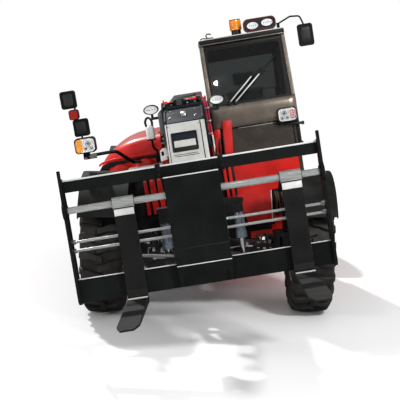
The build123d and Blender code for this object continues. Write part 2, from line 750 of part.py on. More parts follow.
def driver_seat():
    """Seat base, cushion, backrest and headrest on the cab floor."""
    x, y, floor = (cab_inner_x + cab_outer_x) / 2, 1680, cab_floor + cab_wall
    base = block(x - 190, x + 190, y - 200, y + 220, floor + seat_gap, floor + 330)
    cushion = block(x - 245, x + 245, y - 250, y + 240, floor + 331, floor + 450)
    cushion = fillet(cushion.edges().filter_by(Axis.Z), 50)
    back = Pos(x, y + 290, floor + 760) * Rot(-12, 0, 0) * Box(460, 110, 620)
    rest = Pos(x, y + 375, floor + 1175) * Rot(-12, 0, 0) * Box(260, 80, 170)
    stem = Pos(x, y + 368, floor + 1085) * Rot(-12, 0, 0) * Box(120, 16, 60)
    hinge = block(x - 110, x + 110, y + 240 + seat_gap, y + 262, floor + 340, floor + 460)
    return [base, cushion, back + hinge + stem + rest]


def dashboard():
    """Front console with the steering column and wheel."""
    x, floor = (cab_inner_x + cab_outer_x) / 2, cab_floor + cab_wall
    y = cab_front
    profile = [(y + 262, floor + seat_gap), (y + 262, 1620), (y + 60, 1690), (y + 60, 1800),
               (y + 190, 1850), (y + 420, 1640), (y + 330, 1560), (y + 330, floor + seat_gap)]
    console = plate_x(profile, x - 180, x + 180)
    hub = (x, 1290, 1800)
    column = bar((x, 1120, 1640), hub, 26)
    wheel_plane = Plane(origin=hub, z_dir=Vector(0, 170, 160))
    wheel = wheel_plane * Torus(185, 14)
    spokes = wheel_plane * (Box(370, 30, 12) + Pos(0, 92, 0) * Box(34, 185, 12) + Cylinder(46, 26))
    return console + column + wheel + spokes


# Lights and mirrors
def rounded_lamp(width, depth, height, corner):
    face = RectangleRounded(width, height, corner)
    return extrude(Plane.XZ.offset(-depth / 2) * face, amount=depth)


def roof_lights():
    """Twin roof lamp housing and the beacon beside it, on the roof's front edge."""
    top = cab_roof + roof_thickness
    y = cab_front + screen_lean + 20
    housing = Pos(905, y, top + 72) * rounded_lamp(345, 120, 138, 50)
    foot = block(800, 1010, y - 45, y + 45, top + seat_gap, top + 20)
    beacon = pin_z(top + seat_gap, top + 50, 655, y + 90, 52) + pin_z(top + 50, top + 165, 655, y + 90, 60)
    return [housing + foot, beacon]


def roof_mirror():
    """Mirror hung from a bent arm at the roof's outer front corner."""
    y = cab_front + screen_lean + 10
    z = cab_roof + roof_thickness / 2
    x = cab_outer_x - 50
    route = [(x, y, z + 75), (1230, y - 30, z + 130), (1330, y - 60, z + 120), (1360, y - 70, z + 20)]
    arm = bent_tube(route, 40, 9)
    head = Pos(1366, y - 70, z - 85) * rounded_lamp(160, 50, 232, 28)
    foot = block(x - 15, x + 15, y - 15, y + 15, z + roof_thickness / 2 + seat_gap, z + 86)
    return arm + head + foot


def stalk_points():
    return [(-560, bay_front - 20, 1500), (-600, 330, 1545), (-665, 190, 1625),
            (-730, 110, 1695), (-800, 80, 1700), (-1010, 20, 1700)]


def mirror_stalk():
    """Bent tube from the engine bay's front to a post with two mirrors."""
    points = stalk_points()
    tube = bent_tube(points, 60, 17)
    foot = Pos(-560, bay_front - 14, 1500) * Rot(90, 0, 0) * Cylinder(38, 28)
    post = bar((-1010, 20, 1690), (-1062, 10, 2330), 9)
    clamp = block(-1044, -980, -6, 50, 1672, 1737 - seat_gap)
    low = Pos(-1012, -25, 1985) * rounded_lamp(150, 46, 168, 24)
    high = Pos(-1092, -25, 2265) * rounded_lamp(150, 46, 172, 26)
    ties = bar((-1040, 14, 1985), (-1030, -20, 1985), 8) + bar((-1056, 12, 2265), (-1076, -20, 2265), 8)
    return tube + foot + post + clamp + low + high + ties


def lamps():
    """Head lamps on both sides, the red marker lamp and the two tail lamps."""
    right = Pos(-1000, -45, 1812) * rounded_lamp(205, 90, 150, 34)
    marker = Pos(-1058, -48, 2118 + seat_gap) * rounded_lamp(96, 60, 98, 26)
    left = Pos(1030, cab_front - 45 - seat_gap, 1752) * rounded_lamp(205, 90, 150, 38)
    tail_y = frame_rear + counterweight_depth + 12 + seat_gap
    tail = Pos(counterweight_half - 180, tail_y, 1040) * rounded_lamp(180, 24, 100, 16)
    return [right, marker, left, tail, mirror(tail, about=Plane.YZ)]


# Boom
def boom_outer():
    z = boom_pivot_z
    tail = boom_pivot_y + 130
    section = box_section(boom_width, boom_height, boom_wall, boom_front + 20, tail, z)
    collar = box_section(boom_width + 60, boom_height + 60, boom_wall + 30, boom_front, boom_front + 85, z)
    boom = section + collar
    for x0, x1 in ((boom_width / 2 - 2, frame_inner_half - 15), (15 - frame_inner_half, 2 - boom_width / 2)):
        boom += pin_x(min(x0, x1), max(x0, x1), boom_pivot_y, z, 90)
    boom -= pin_x(-boom_width, boom_width, boom_pivot_y, z, boom_pin_diameter / 2 + running_fit)
    boom += section_pads(boom_width - 2 * boom_wall, boom_height - 2 * boom_wall, boom_front + 10)
    eye_y, eye_z = boom_pivot_y - lift_eye_back, boom_pivot_z - lift_eye_drop
    for x in (75, -99):
        root = z - boom_height / 2 + 4
        ear = [(eye_y - 190, root), (eye_y + 190, root), (eye_y + 70, eye_z - 40), (eye_y - 70, eye_z - 40)]
        boom += plate_x(ear, x, x + 24)
    for x0, x1 in ((99, 111), (-111, -99)):
        boom += pin_x(x0, x1, eye_y, eye_z, 52)
    return boom


def section_pads(width, height, y0):
    """Wear pads inside a section's mouth for the stage that slides through it."""
    depth, thick = 100, section_gap - pad_gap
    z = boom_pivot_z
    top = block(-width / 2 + 60, width / 2 - 60, y0, y0 + depth, z + height / 2 - thick, z + height / 2 + 1)
    side = block(width / 2 - thick, width / 2 + 1, y0, y0 + depth, z - height / 2 + 60, z + height / 2 - 60)
    return top + mirror(top, about=Plane.XY.offset(z)) + side + mirror(side, about=Plane.YZ)


def heel_pads(width, height, y0):
    """Wear pads outside a stage's heel."""
    depth, thick = 100, section_gap - pad_gap
    z = boom_pivot_z
    top = block(-width / 2 + 60, width / 2 - 60, y0, y0 + depth, z + height / 2 - 1, z + height / 2 + thick)
    side = block(width / 2 - 1, width / 2 + thick, y0, y0 + depth, z - height / 2 + 60, z + height / 2 - 60)
    return top + mirror(top, about=Plane.XY.offset(z)) + side + mirror(side, about=Plane.YZ)


def boom_middle():
    z, front = boom_pivot_z, boom_front - stage_step
    section = box_section(middle_width, middle_height, middle_wall, front + 10, boom_pivot_y - 150, z)
    collar = box_section(middle_width + 30, middle_height + 30, middle_wall + 15, front, front + 50, z)
    stage = section + collar
    stage += section_pads(middle_width - 2 * middle_wall, middle_height - 2 * middle_wall, front + 10)
    return stage + heel_pads(middle_width, middle_height, boom_pivot_y - 250)


def head_rear():
    return boom_front - stage_step - 20


def boom_inner():
    """Inner stage with the gooseneck head that carries the forks' carriage."""
    z, rear = boom_pivot_z, head_rear()
    stage = box_section(inner_width, inner_height, 8, rear - 80, boom_pivot_y - 250, z)
    stage += heel_pads(inner_width, inner_height, boom_pivot_y - 350)
    pin = carriage_point(0, -tilt_pin_back, tilt_pin_height)
    top, low = z + inner_height / 2, z - inner_height / 2
    side_edge = [(rear, top), (-900, top), (-1100, 1945), (-1340, 1500), (-1500, 1180), (pin[1] - 95, pin[2]),
                 (pin[1] - 60, pin[2] - 80), (pin[1] + 40, pin[2] - 95), (pin[1] + 130, pin[2] - 20),
                 (-1290, 1000), (-1080, 1300), (-640, low), (rear, low)]
    side = plate_x(side_edge, head_half - head_plate, head_half)
    side += pin_x(head_half - head_plate - 6, head_half + 4, pin[1], pin[2], 88)
    head = stage + side + mirror(side, about=Plane.YZ)
    inside = head_half - head_plate
    head += plate_x([(-880, top), (-1100, 1945), (-1100, 1925), (-880, top - 20)], -inside, inside)
    head += block(-inside, inside, -900, rear, top - 20, top)
    head += plate_x([(-640, low), (-640, low + 16), (-1066, 1308), (-1270, 1008), (-1290, 1000), (-1080, 1300)],
                    -inside, inside)
    head += block(-inside, inside, rear - 300, rear, low, low + 12)
    head += plate_x([(-1097, 1950), (-1120, 1943), (-1375, 1440), (-1352, 1436)], -head_half, head_half)
    head += pin_x(-inside - 5, inside + 5, tilt_base_y, tilt_base_z, tilt_cylinder_pin_diameter / 2)
    head += pin_x(-head_half - 44, head_half + 44, pin[1], pin[2], tilt_pin_diameter / 2)
    for x in (-105, 80):
        head += plate_x([(tilt_base_y - 70, tilt_base_z - 60), (tilt_base_y + 70, tilt_base_z - 60),
                         (tilt_base_y + 120, top - 10), (tilt_base_y - 120, top - 10)], x, x + 25)
    window = block(-112, 112, -1400, -900, 1640, 1850)
    front_only = plate_x([(-1060, 1950), (-1140, 1950), (-1400, 1440), (-1300, 1440)], -112, 112)
    return head - (window & front_only)


def boom_lamps():
    """Oval work lamps on brackets at the sides of the boom's collar."""
    lamps_out = []
    for side in (-1, 1):
        x_wall = side * (boom_width / 2 + 30)
        x = side * 318
        lamp = Pos(x, boom_front + 20, 2050) * Rot(90, 0, 0) * extrude(Ellipse(73, 46), amount=36, both=True)
        post = block(min(x - 12, x + 12), max(x - 12, x + 12), boom_front + 30, boom_front + 60, 1960, 2040)
        arm = block(min(x_wall, x + side * 12) + (seat_gap if side > 0 else 0),
                    max(x_wall, x + side * 12) - (0 if side > 0 else seat_gap),
                    boom_front + 25, boom_front + 65, 1950, 1975)
        lamps_out.append(lamp + post + arm)
    return lamps_out


# Carriage, drawn with the forks towards -Y
def carriage_frame():
    half, height = carriage_width / 2, carriage_height
    wall = carriage_plate
    side_edge = [(100, 0), (100, 820), (70, 1010), (-4, 1010), (-4, height), (-30, height), (-30, 830), (-70, 800),
                 (-70, 715), (-30, 690), (-30, 30), (0, 0)]
    side = plate_x(side_edge, half - wall, half)
    side -= pin_x(half - wall - 1, half + 1, 40, 400, 24)
    frame = side + mirror(side, about=Plane.YZ)
    frame += block(-half, half, 10, 70, 900, 1000)
    frame += block(-half, half, 5, 25, 15, 205)
    rib_edge = [(5, 15), (-55, 30), (-55, 902), (60, 960), (110, 620), (260, 330), (tilt_pin_back + 70, 160),
                (tilt_pin_back + 70, 70), (tilt_pin_back, 30)]
    rib_inner = head_half + 8
    rib = plate_x(rib_edge, rib_inner, rib_inner + 28)
    rib += pin_x(rib_inner, rib_inner + 34, tilt_pin_back, tilt_pin_height, 76)
    rib -= pin_x(rib_inner - 1, rib_inner + 40, tilt_pin_back, tilt_pin_height, tilt_pin_diameter / 2 + running_fit)
    ribs = rib + mirror(rib, about=Plane.YZ)
    frame += ribs + centre_plate() + tilt_ears()
    frame -= pin_x(-half - 1, half + 1, -shaft_forward, shaft_height, shaft_diameter / 2 + seat_gap)
    for height_at in positioner_heights:
        frame -= pin_x(wall - half, half - wall, positioner_back, height_at, positioner_diameter / 2 + seat_gap)
    return frame


def centre_plate():
    """Wide cover plate in front of the shaft, folded back at its foot."""
    edge = [(-55, 904), (-65, 904), (-65, 190), (-28, 20), (-18, 22), (-55, 192)]
    return plate_x(edge, -220, 220)


def tilt_ears():
    """Ears behind the centre plate that straddle the tilt rod's eye."""
    ears = None
    edge = [(-55, 380), (-55, 660), (240, 600), (tilt_eye_back + 50, tilt_eye_height + 10),
            (tilt_eye_back + 45, tilt_eye_height - 45), (200, 400)]
    for x0 in (56, -80):
        ear = plate_x(edge, x0, x0 + 24)
        ears = ear if ears is None else ears + ear
    for x0, x1 in ((80, 92), (-92, -80)):
        ears += pin_x(x0, x1, tilt_eye_back, tilt_eye_height, 44)
    cross = block(-head_half - 10, head_half + 10, 5, 25, 560, 640)
    return ears + cross


def carriage_rods():
    """Fork shaft and the two thin positioner rods across the carriage."""
    half = carriage_width / 2 - carriage_plate - seat_gap
    rods = [pin_x(-carriage_width / 2 - 6, carriage_width / 2 + 6, -shaft_forward, shaft_height, shaft_diameter / 2)]
    for height in positioner_heights:
        rods.append(pin_x(-half, half, positioner_back, height, positioner_diameter / 2))
    return rods


def fork():
    """Forged fork: eye on the shaft, shank, heel and tapered blade."""
    t, h = fork_thickness, shaft_height
    tip = fork_length + t
    edge = [(0, h - 30), (0, 10), (-20, -35), (-62, -t), (4 - tip, -14), (-tip, -8), (-tip, 0), (-110, 0),
            (-66, 18), (-t, 64), (-t, h - 30)]
    body = plate_x(edge, -fork_width / 2, fork_width / 2)
    for side in (-1, 1):
        corner = [(side * (fork_width / 2 + 1), -tip - 1), (side * (fork_width / 2 - 34), -tip - 1),
                  (side * (fork_width / 2 + 1), -tip + 150)]
        body -= plate_z(corner, -t - 1, 1)
    eye = pin_x(-fork_eye_width / 2, fork_eye_width / 2, -shaft_forward, h, 45)
    return body + eye - pin_x(-fork_eye_width, fork_eye_width, -shaft_forward, h, shaft_diameter / 2 + running_fit)


# Assembly
corner_names = {(1, 0): "front_left", (-1, 0): "front_right", (1, 1): "rear_left", (-1, 1): "rear_right"}


def axle_nodes():
    nodes = {}
    nodes["front_axle_housing"] = Pos(0, 0, axle_z) * axle_housing(True)
    rear_axle = mirror(axle_housing(False), about=Plane.XZ)
    nodes["rear_axle_housing"] = Pos(0, wheelbase, axle_z) * rear_axle
    nodes["front_steering_rod"] = Pos(0, 0, axle_z) * steering_rod()
    nodes["rear_steering_rod"] = Pos(0, wheelbase, axle_z) * mirror(steering_rod(), about=Plane.XZ)
    for (side, rear), name in corner_names.items():
        pieces = {"knuckle": knuckle(), "mudguard": mudguard()}
        for kind, piece in pieces.items():
            piece = mirror(piece, about=Plane.XZ) if rear else piece
            piece = mirror(piece, about=Plane.YZ) if side < 0 else piece
            nodes[name + "_" + kind] = Pos(side * kingpin_x, rear * wheelbase, axle_z) * piece
        for kind, piece in {"rim": rim(), "tyre": tyre()}.items():
            piece = mirror(piece, about=Plane.YZ) if side < 0 else piece
            nodes[name + "_" + kind] = wheel_place(side, rear * wheelbase) * piece
    return nodes


def frame_nodes():
    """Everything that leans with the frame, still level."""
    lift_barrel, lift_rod = lift_cylinder()
    tilt_barrel, tilt_rod = tilt_cylinder()
    shell = [cab_shell()] + door_hinges()
    return {"chassis_frame": chassis_frame(), "counterweight": counterweight(), "tow_hitch": tow_hitch(),
            "engine_block": engine_block(), "engine_bay": engine_bay(), "engine_hood": engine_hood(),
            "cab_base": cab_base(), "cab_shell": shell, "cab_roof": cab_roof_panel(), "cab_door": cab_door(),
            "door_glass": door_glass(), "cab_glazing": cab_glazing(), "driver_seat": driver_seat(),
            "dashboard": dashboard(), "roof_lights": roof_lights(), "roof_mirror": roof_mirror(),
            "mirror_stalk": mirror_stalk(), "lamps": lamps(), "boom_outer": boom_outer(),
            "boom_lamps": boom_lamps(), "boom_middle": boom_middle(), "boom_inner": boom_inner(),
            "lift_barrel": lift_barrel, "lift_rod": lift_rod, "tilt_barrel": tilt_barrel, "tilt_rod": tilt_rod,
            "carriage_frame": on_carriage(carriage_frame()), "carriage_rods": on_each(carriage_rods()),
            "fork_left": on_carriage(Pos(fork_left_at, 0, 0) * fork()),
            "fork_right": on_carriage(Pos(fork_right_at, 0, 0) * fork())}


def on_each(shapes):
    return [on_carriage(shape) for shape in shapes]


def levelling_nodes():
    nodes = {}
    for side, name in ((1, "left"), (-1, "right")):
        barrel, rod = levelling_cylinder(side)
        nodes[name + "_levelling_barrel"] = barrel
        nodes[name + "_levelling_rod"] = rod
    return nodes


def solids_of(shape):
    shapes = shape if isinstance(shape, list) else [shape]
    found = []
    for item in shapes:
        found += list(item.solids())
    return found


def machine():
    """All nodes as lists of solids, where they stand, before the origin is set."""
    nodes = {name: solids_of(shape) for name, shape in axle_nodes().items()}
    for name, shape in frame_nodes().items():
        nodes[name] = [rolled(solid) for solid in solids_of(shape)]
    for name, shape in levelling_nodes().items():
        nodes[name] = solids_of(shape)
    return nodes


def origin_shift(nodes):
    """Move that puts the origin under the middle of the machine, on the ground."""
    boxes = [solid.bounding_box() for solids in nodes.values() for solid in solids]
    x = (min(b.min.X for b in boxes) + max(b.max.X for b in boxes)) / 2
    y = (min(b.min.Y for b in boxes) + max(b.max.Y for b in boxes)) / 2
    return (-x, -y, -min(b.min.Z for b in boxes))


def main():
    os.makedirs("parts", exist_ok=True)
    nodes = machine()
    shift = origin_shift(nodes)
    print("origin shift", [round(value, 4) for value in shift])
    for name, solids in nodes.items():
        placed = [Pos(*shift) * solid for solid in solids]
        export_step(placed[0] if len(placed) == 1 else Compound(children=placed), "parts/" + name + ".step")


if __name__ == "__main__":
    main()
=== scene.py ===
"""Looks of a telehandler: finishes, tyre tread, lamps, cab trim, hoses and small fittings.

Every piece is drawn in metres in the drawing of the machine standing level, with the front
axle at y = 0 and the ground at z = 0, and is then placed with the lean that the frame holds.
"""

from __future__ import annotations

import json
import logging
import math
from dataclasses import dataclass
from enum import Enum
from typing import Iterable, Sequence

import bmesh
import bpy
from mathutils import Matrix, Vector

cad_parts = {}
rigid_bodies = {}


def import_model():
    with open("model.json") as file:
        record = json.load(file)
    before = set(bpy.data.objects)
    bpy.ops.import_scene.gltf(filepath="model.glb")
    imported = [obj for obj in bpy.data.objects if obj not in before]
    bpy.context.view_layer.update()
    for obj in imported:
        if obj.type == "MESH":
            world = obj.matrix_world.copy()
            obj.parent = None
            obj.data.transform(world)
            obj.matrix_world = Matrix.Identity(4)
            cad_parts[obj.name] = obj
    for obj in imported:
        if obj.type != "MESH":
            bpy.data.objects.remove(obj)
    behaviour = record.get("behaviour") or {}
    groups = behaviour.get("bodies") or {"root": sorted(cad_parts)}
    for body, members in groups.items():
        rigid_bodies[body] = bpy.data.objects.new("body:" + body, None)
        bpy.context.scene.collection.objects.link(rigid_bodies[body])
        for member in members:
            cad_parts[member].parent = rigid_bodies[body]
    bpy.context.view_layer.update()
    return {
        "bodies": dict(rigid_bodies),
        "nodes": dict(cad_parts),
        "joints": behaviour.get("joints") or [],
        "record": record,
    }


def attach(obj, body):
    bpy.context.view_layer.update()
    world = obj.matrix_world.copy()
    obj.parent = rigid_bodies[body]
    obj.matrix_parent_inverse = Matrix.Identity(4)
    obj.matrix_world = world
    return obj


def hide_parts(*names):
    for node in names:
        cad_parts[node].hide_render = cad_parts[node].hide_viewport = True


log = logging.getLogger("telehandler")
Point = Sequence[float]
Colour = tuple[float, float, float]
FACE_LEAN = -math.atan2(0.255, 0.503)
SCREEN_LEAN = -math.atan2(0.25, 0.69)


class Axis(Enum):
    """The drawing axis along which an outline is pushed or turned."""

    X = 0
    Y = 1
    Z = 2


@dataclass(frozen=True)
class Site:
    """Places of the level drawing, the carriage drawing and the axles in the frame."""

    ground: Matrix
    level: Matrix
    carriage: Matrix

    @classmethod
    def read(cls, joints: Sequence[dict]) -> "Site":
        """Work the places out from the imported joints.

        Args:
            joints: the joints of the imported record.

        Returns:
            The places, as matrices from drawing metres to the frame.
        """
        by_name = {joint["name"]: joint for joint in joints}
        trunnion = Vector(by_name["frame_levelling"]["pos_m"])
        lift_axis = by_name["boom_lift"]["axis"]
        lean = math.atan2(-lift_axis[2], -lift_axis[0])
        ground = Matrix.Translation((trunnion.x, trunnion.y, 0.0))
        height = Matrix.Translation((0.0, 0.0, trunnion.z))
        level = ground @ height @ Matrix.Rotation(-lean, 4, "Y") @ height.inverted()
        pin = level.inverted() @ Vector(by_name["carriage_tilt"]["pos_m"])
        tilt_back = Matrix.Rotation(math.radians(-3.0), 4, "X")
        pin_in_carriage = Vector((0.0, 0.33, 0.11))
        foot = pin - tilt_back @ pin_in_carriage
        return cls(ground, level, level @ Matrix.Translation(foot) @ tilt_back)


class Nodes:
    """A small helper that adds and links nodes of one tree."""

    def __init__(self, tree: bpy.types.NodeTree) -> None:
        """Keep the tree that is built."""
        self.tree = tree

    def add(self, kind: str, inputs: dict | None = None, **settings: object) -> bpy.types.Node:
        """Add a node, set its properties, and set or link its inputs.

        Args:
            kind: the node's type name.
            inputs: socket name or index to a value or to another node's output.
            settings: properties of the node.

        Returns:
            The new node.
        """
        node = self.tree.nodes.new(kind)
        for name, value in settings.items():
            setattr(node, name, value)
        self.wire(node, inputs or {})
        return node

    def wire(self, node: bpy.types.Node, inputs: dict) -> None:
        """Set a node's inputs, or link them where the value is another node's output."""
        for name, value in inputs.items():
            socket = node.inputs[name]
            if isinstance(value, bpy.types.NodeSocket):
                self.tree.links.new(value, socket)
            else:
                socket.default_value = value

    def maths(self, operation: str, *values: object) -> bpy.types.NodeSocket:
        """Add a Math node on the values and return its output."""
        node = self.add("ShaderNodeMath", dict(enumerate(values)), operation=operation)
        return node.outputs[0]

    def ramp(self, factor: bpy.types.NodeSocket, low: float, high: float,
             to_low: float = 0.0, to_high: float = 1.0) -> bpy.types.NodeSocket:
        """Map a value smoothly from one range to another and return the output."""
        node = self.add("ShaderNodeMapRange", {0: factor, 1: low, 2: high, 3: to_low, 4: to_high},
                        interpolation_type="SMOOTHSTEP")
        return node.outputs[0]

    def blend(self, factor: object, first: object, second: object, mode: str = "MIX") -> bpy.types.NodeSocket:
        """Mix two colours and return the output."""
        node = self.add("ShaderNodeMix", data_type="RGBA", blend_type=mode)
        self.wire(node, {0: factor, 6: first, 7: second})
        return node.outputs[2]


def begun(name: str) -> tuple[bpy.types.Material, Nodes, bpy.types.Node]:
    """A new node material, the helper of its tree and its surface node."""
    made = bpy.data.materials.new(name)
    made.use_nodes = True
    return made, Nodes(made.node_tree), made.node_tree.nodes["Principled BSDF"]


def rgba(colour: Colour) -> tuple[float, float, float, float]:
    """A colour with full alpha."""
    return (*colour, 1.0)


class SharedEffects:
    """Shader node groups that several finishes use, each built once."""

    def __init__(self) -> None:
        """Build the groups."""
        self.wear = self._edge_wear()
        self.mottle = self._mottle()
        self.dust = self._dust()

    @staticmethod
    def _group(name: str, inputs: dict[str, float], outputs: dict[str, str]) -> tuple[object, Nodes, object, object]:
        """Start a group with float inputs and the given outputs.

        Args:
            name: the group's name.
            inputs: input name to its default value.
            outputs: output name to its socket type.

        Returns:
            The group, its helper, its input node and its output node.
        """
        group = bpy.data.node_groups.new(name, "ShaderNodeTree")
        for label, value in inputs.items():
            socket = group.interface.new_socket(label, in_out="INPUT", socket_type="NodeSocketFloat")
            socket.default_value = value
        for label, kind in outputs.items():
            group.interface.new_socket(label, in_out="OUTPUT", socket_type=kind)
        nodes = Nodes(group)
        return group, nodes, nodes.add("NodeGroupInput"), nodes.add("NodeGroupOutput")

    def _edge_wear(self) -> bpy.types.NodeTree:
        """Mask of worn outer edges, broken up by noise, and the rounded normal."""
        group, n, given, out = self._group("Edge wear", {"Amount": 0.4, "Radius": 0.004},
                                           {"Mask": "NodeSocketFloat", "Normal": "NodeSocketVector"})
        bevel = n.add("ShaderNodeBevel", {"Radius": given.outputs["Radius"]}, samples=4)
        flat = n.add("ShaderNodeNewGeometry")
        dot = n.add("ShaderNodeVectorMath", {0: bevel.outputs[0], 1: flat.outputs["Normal"]}, operation="DOT_PRODUCT")
        edge = n.ramp(dot.outputs["Value"], 0.995, 0.9)
        place = n.add("ShaderNodeTexCoord")
        noise = n.add("ShaderNodeTexNoise", {"Vector": place.outputs["Object"], "Scale": 21.0, "Detail": 8.0,
                                             "Roughness": 0.7})
        chipped = n.ramp(noise.outputs[0], 0.46, 0.62)
        worn = n.maths("MULTIPLY", n.maths("MULTIPLY", edge, chipped), given.outputs["Amount"])
        n.tree.links.new(worn, out.inputs["Mask"])
        n.tree.links.new(bevel.outputs[0], out.inputs["Normal"])
        return group

    def _mottle(self) -> bpy.types.NodeTree:
        """Broad and fine variation about zero, and vertical streaks."""
        group, n, given, out = self._group("Mottle", {"Scale": 4.0},
                                           {"Broad": "NodeSocketFloat", "Fine": "NodeSocketFloat",
                                            "Streaks": "NodeSocketFloat"})
        place = n.add("ShaderNodeTexCoord")
        broad = n.add("ShaderNodeTexNoise", {"Vector": place.outputs["Object"], "Scale": given.outputs["Scale"],
                                             "Detail": 5.0, "Roughness": 0.6})
        fine = n.add("ShaderNodeTexNoise", {"Vector": place.outputs["Object"], "Scale": 260.0, "Detail": 3.0})
        drawn = n.add("ShaderNodeMapping", {"Vector": place.outputs["Object"], "Scale": (26.0, 26.0, 1.6)})
        streaks = n.add("ShaderNodeTexNoise", {"Vector": drawn.outputs[0], "Scale": 1.0, "Detail": 4.0})
        n.tree.links.new(broad.outputs[0], out.inputs["Broad"])
        n.tree.links.new(fine.outputs[0], out.inputs["Fine"])
        n.tree.links.new(streaks.outputs[0], out.inputs["Streaks"])
        return group

    def _dust(self) -> bpy.types.NodeTree:
        """Mask of settled dust: on upward faces and near the ground."""
        group, n, given, out = self._group("Settled dust", {"Amount": 0.3, "Height": 1.1},
                                           {"Mask": "NodeSocketFloat"})
        place = n.add("ShaderNodeTexCoord")
        split = n.add("ShaderNodeSeparateXYZ", {0: place.outputs["Object"]})
        low = n.ramp(split.outputs["Z"], given.outputs["Height"], 0.1)
        shape = n.add("ShaderNodeNewGeometry")
        facing = n.add("ShaderNodeSeparateXYZ", {0: shape.outputs["Normal"]})
        upward = n.ramp(facing.outputs["Z"], 0.35, 0.95, 0.0, 0.8)
        noise = n.add("ShaderNodeTexNoise", {"Vector": place.outputs["Object"], "Scale": 7.0, "Detail": 9.0,
                                             "Roughness": 0.72})
        patches = n.ramp(noise.outputs[0], 0.36, 0.68)
        either = n.maths("MAXIMUM", low, upward)
        mask = n.maths("MULTIPLY", n.maths("MULTIPLY", either, patches), given.outputs["Amount"])
        n.tree.links.new(mask, out.inputs["Mask"])
        return group

    def place(self, n: Nodes, group: bpy.types.NodeTree, **values: float) -> bpy.types.Node:
        """Put a group in a material's tree with its own values."""
        node = n.add("ShaderNodeGroup", node_tree=group)
        for label, value in values.items():
            node.inputs[label].default_value = value
        return node


DUST_COLOUR: Colour = (0.32, 0.29, 0.24)
# Near-black used below a set height: painted shade beneath the hood and cab, and in part the frame's dark underside.
LOW_SHADE_COLOUR: Colour = (0.006, 0.006, 0.0065)
COAT_ROUGHNESS = 0.12
GLASS_IOR = 1.45
SEAT_SHEEN = 0.25


@dataclass(frozen=True)
class Paint:
    """Enamel on steel: mottled gloss coat, chipped edges, settled dust and, where set, near-black below a height that
    is painted shade beneath the hood and cab and in part the frame's dark underside.
    """

    name: str
    colour: Colour
    roughness: float = 0.34
    coat: float = 0.35
    metallic: float = 0.0
    wear: float = 0.35
    bare: Colour = (0.35, 0.34, 0.33)
    dust: float = 0.3
    dust_height: float = 1.1
    edge_radius: float = 0.004
    specular: float = 0.5
    painted_shade_below: float = 0.0

    def material(self, effects: SharedEffects) -> bpy.types.Material:
        """Build the finish as a node material."""
        made, n, surface = begun(self.name)
        wear = effects.place(n, effects.wear, Amount=self.wear, Radius=self.edge_radius)
        mottle = effects.place(n, effects.mottle, Scale=3.5)
        dust = effects.place(n, effects.dust, Amount=self.dust, Height=self.dust_height)
        darker = tuple(channel * 0.8 for channel in self.colour)
        lighter = tuple(min(1.0, channel * 1.14 + 0.002) for channel in self.colour)
        base = n.blend(n.ramp(mottle.outputs["Broad"], 0.3, 0.7), rgba(darker), rgba(lighter))
        base = n.blend(n.ramp(mottle.outputs["Streaks"], 0.52, 0.72, 0.0, 0.35), base, rgba(darker))
        # Below the set height the colour turns near-black: painted shade beneath the hood and cab, and in part the
        # frame's dark underside.
        if self.painted_shade_below:
            place = n.add("ShaderNodeTexCoord")
            height = n.add("ShaderNodeSeparateXYZ", {"Vector": place.outputs["Object"]}).outputs["Z"]
            low = n.ramp(height, self.painted_shade_below, self.painted_shade_below + 0.004, 1.0, 0.0)
            base = n.blend(low, base, rgba(LOW_SHADE_COLOUR))
        base = n.blend(wear.outputs["Mask"], base, rgba(self.bare))
        base = n.blend(dust.outputs["Mask"], base, rgba(DUST_COLOUR))
        rough = n.ramp(mottle.outputs["Broad"], 0.25, 0.75, self.roughness * 0.85, self.roughness * 1.2)
        rough = n.maths("MULTIPLY_ADD", dust.outputs["Mask"], 0.45, rough)
        bump = n.add("ShaderNodeBump", {"Height": mottle.outputs["Fine"], "Normal": wear.outputs["Normal"],
                                        "Strength": 0.05, "Distance": 0.002})
        n.wire(surface, {"Base Color": base, "Roughness": rough, "Normal": bump.outputs[0]})
        n.wire(surface, {"Metallic": self.metallic, "Coat Weight": self.coat, "Coat Roughness": COAT_ROUGHNESS,
                         "Specular IOR Level": self.specular})
        return made


@dataclass(frozen=True)
class BareMetal:
    """Machined, chromed or cast metal with a drawn grain."""

    name: str
    colour: Colour
    roughness: float = 0.25
    grain: float = 0.35
    grain_scale: tuple[float, float, float] = (2.0, 160.0, 160.0)
    metallic: float = 1.0
    dust: float = 0.15

    def material(self, effects: SharedEffects) -> bpy.types.Material:
        """Build the finish as a node material."""
        made, n, surface = begun(self.name)
        place = n.add("ShaderNodeTexCoord")
        drawn = n.add("ShaderNodeMapping", {"Vector": place.outputs["Object"], "Scale": self.grain_scale})
        lines = n.add("ShaderNodeTexNoise", {"Vector": drawn.outputs[0], "Scale": 1.0, "Detail": 5.0})
        mottle = effects.place(n, effects.mottle, Scale=9.0)
        dust = effects.place(n, effects.dust, Amount=self.dust, Height=1.2)
        darker = tuple(channel * 0.62 for channel in self.colour)
        base = n.blend(n.ramp(lines.outputs[0], 0.3, 0.7, 0.0, 1.0), rgba(darker), rgba(self.colour))
        base = n.blend(n.ramp(mottle.outputs["Broad"], 0.5, 0.8, 0.0, 0.4), base, rgba(darker))
        base = n.blend(dust.outputs["Mask"], base, rgba(DUST_COLOUR))
        rough = n.ramp(mottle.outputs["Broad"], 0.3, 0.7, self.roughness * 0.8, self.roughness * 1.35)
        wear = effects.place(n, effects.wear, Amount=0.0, Radius=0.002)
        bump = n.add("ShaderNodeBump", {"Height": lines.outputs[0], "Normal": wear.outputs["Normal"],
                                        "Strength": self.grain * 0.3, "Distance": 0.001})
        n.wire(surface, {"Base Color": base, "Roughness": rough, "Normal": bump.outputs[0]})
        n.wire(surface, {"Metallic": self.metallic})
        return made


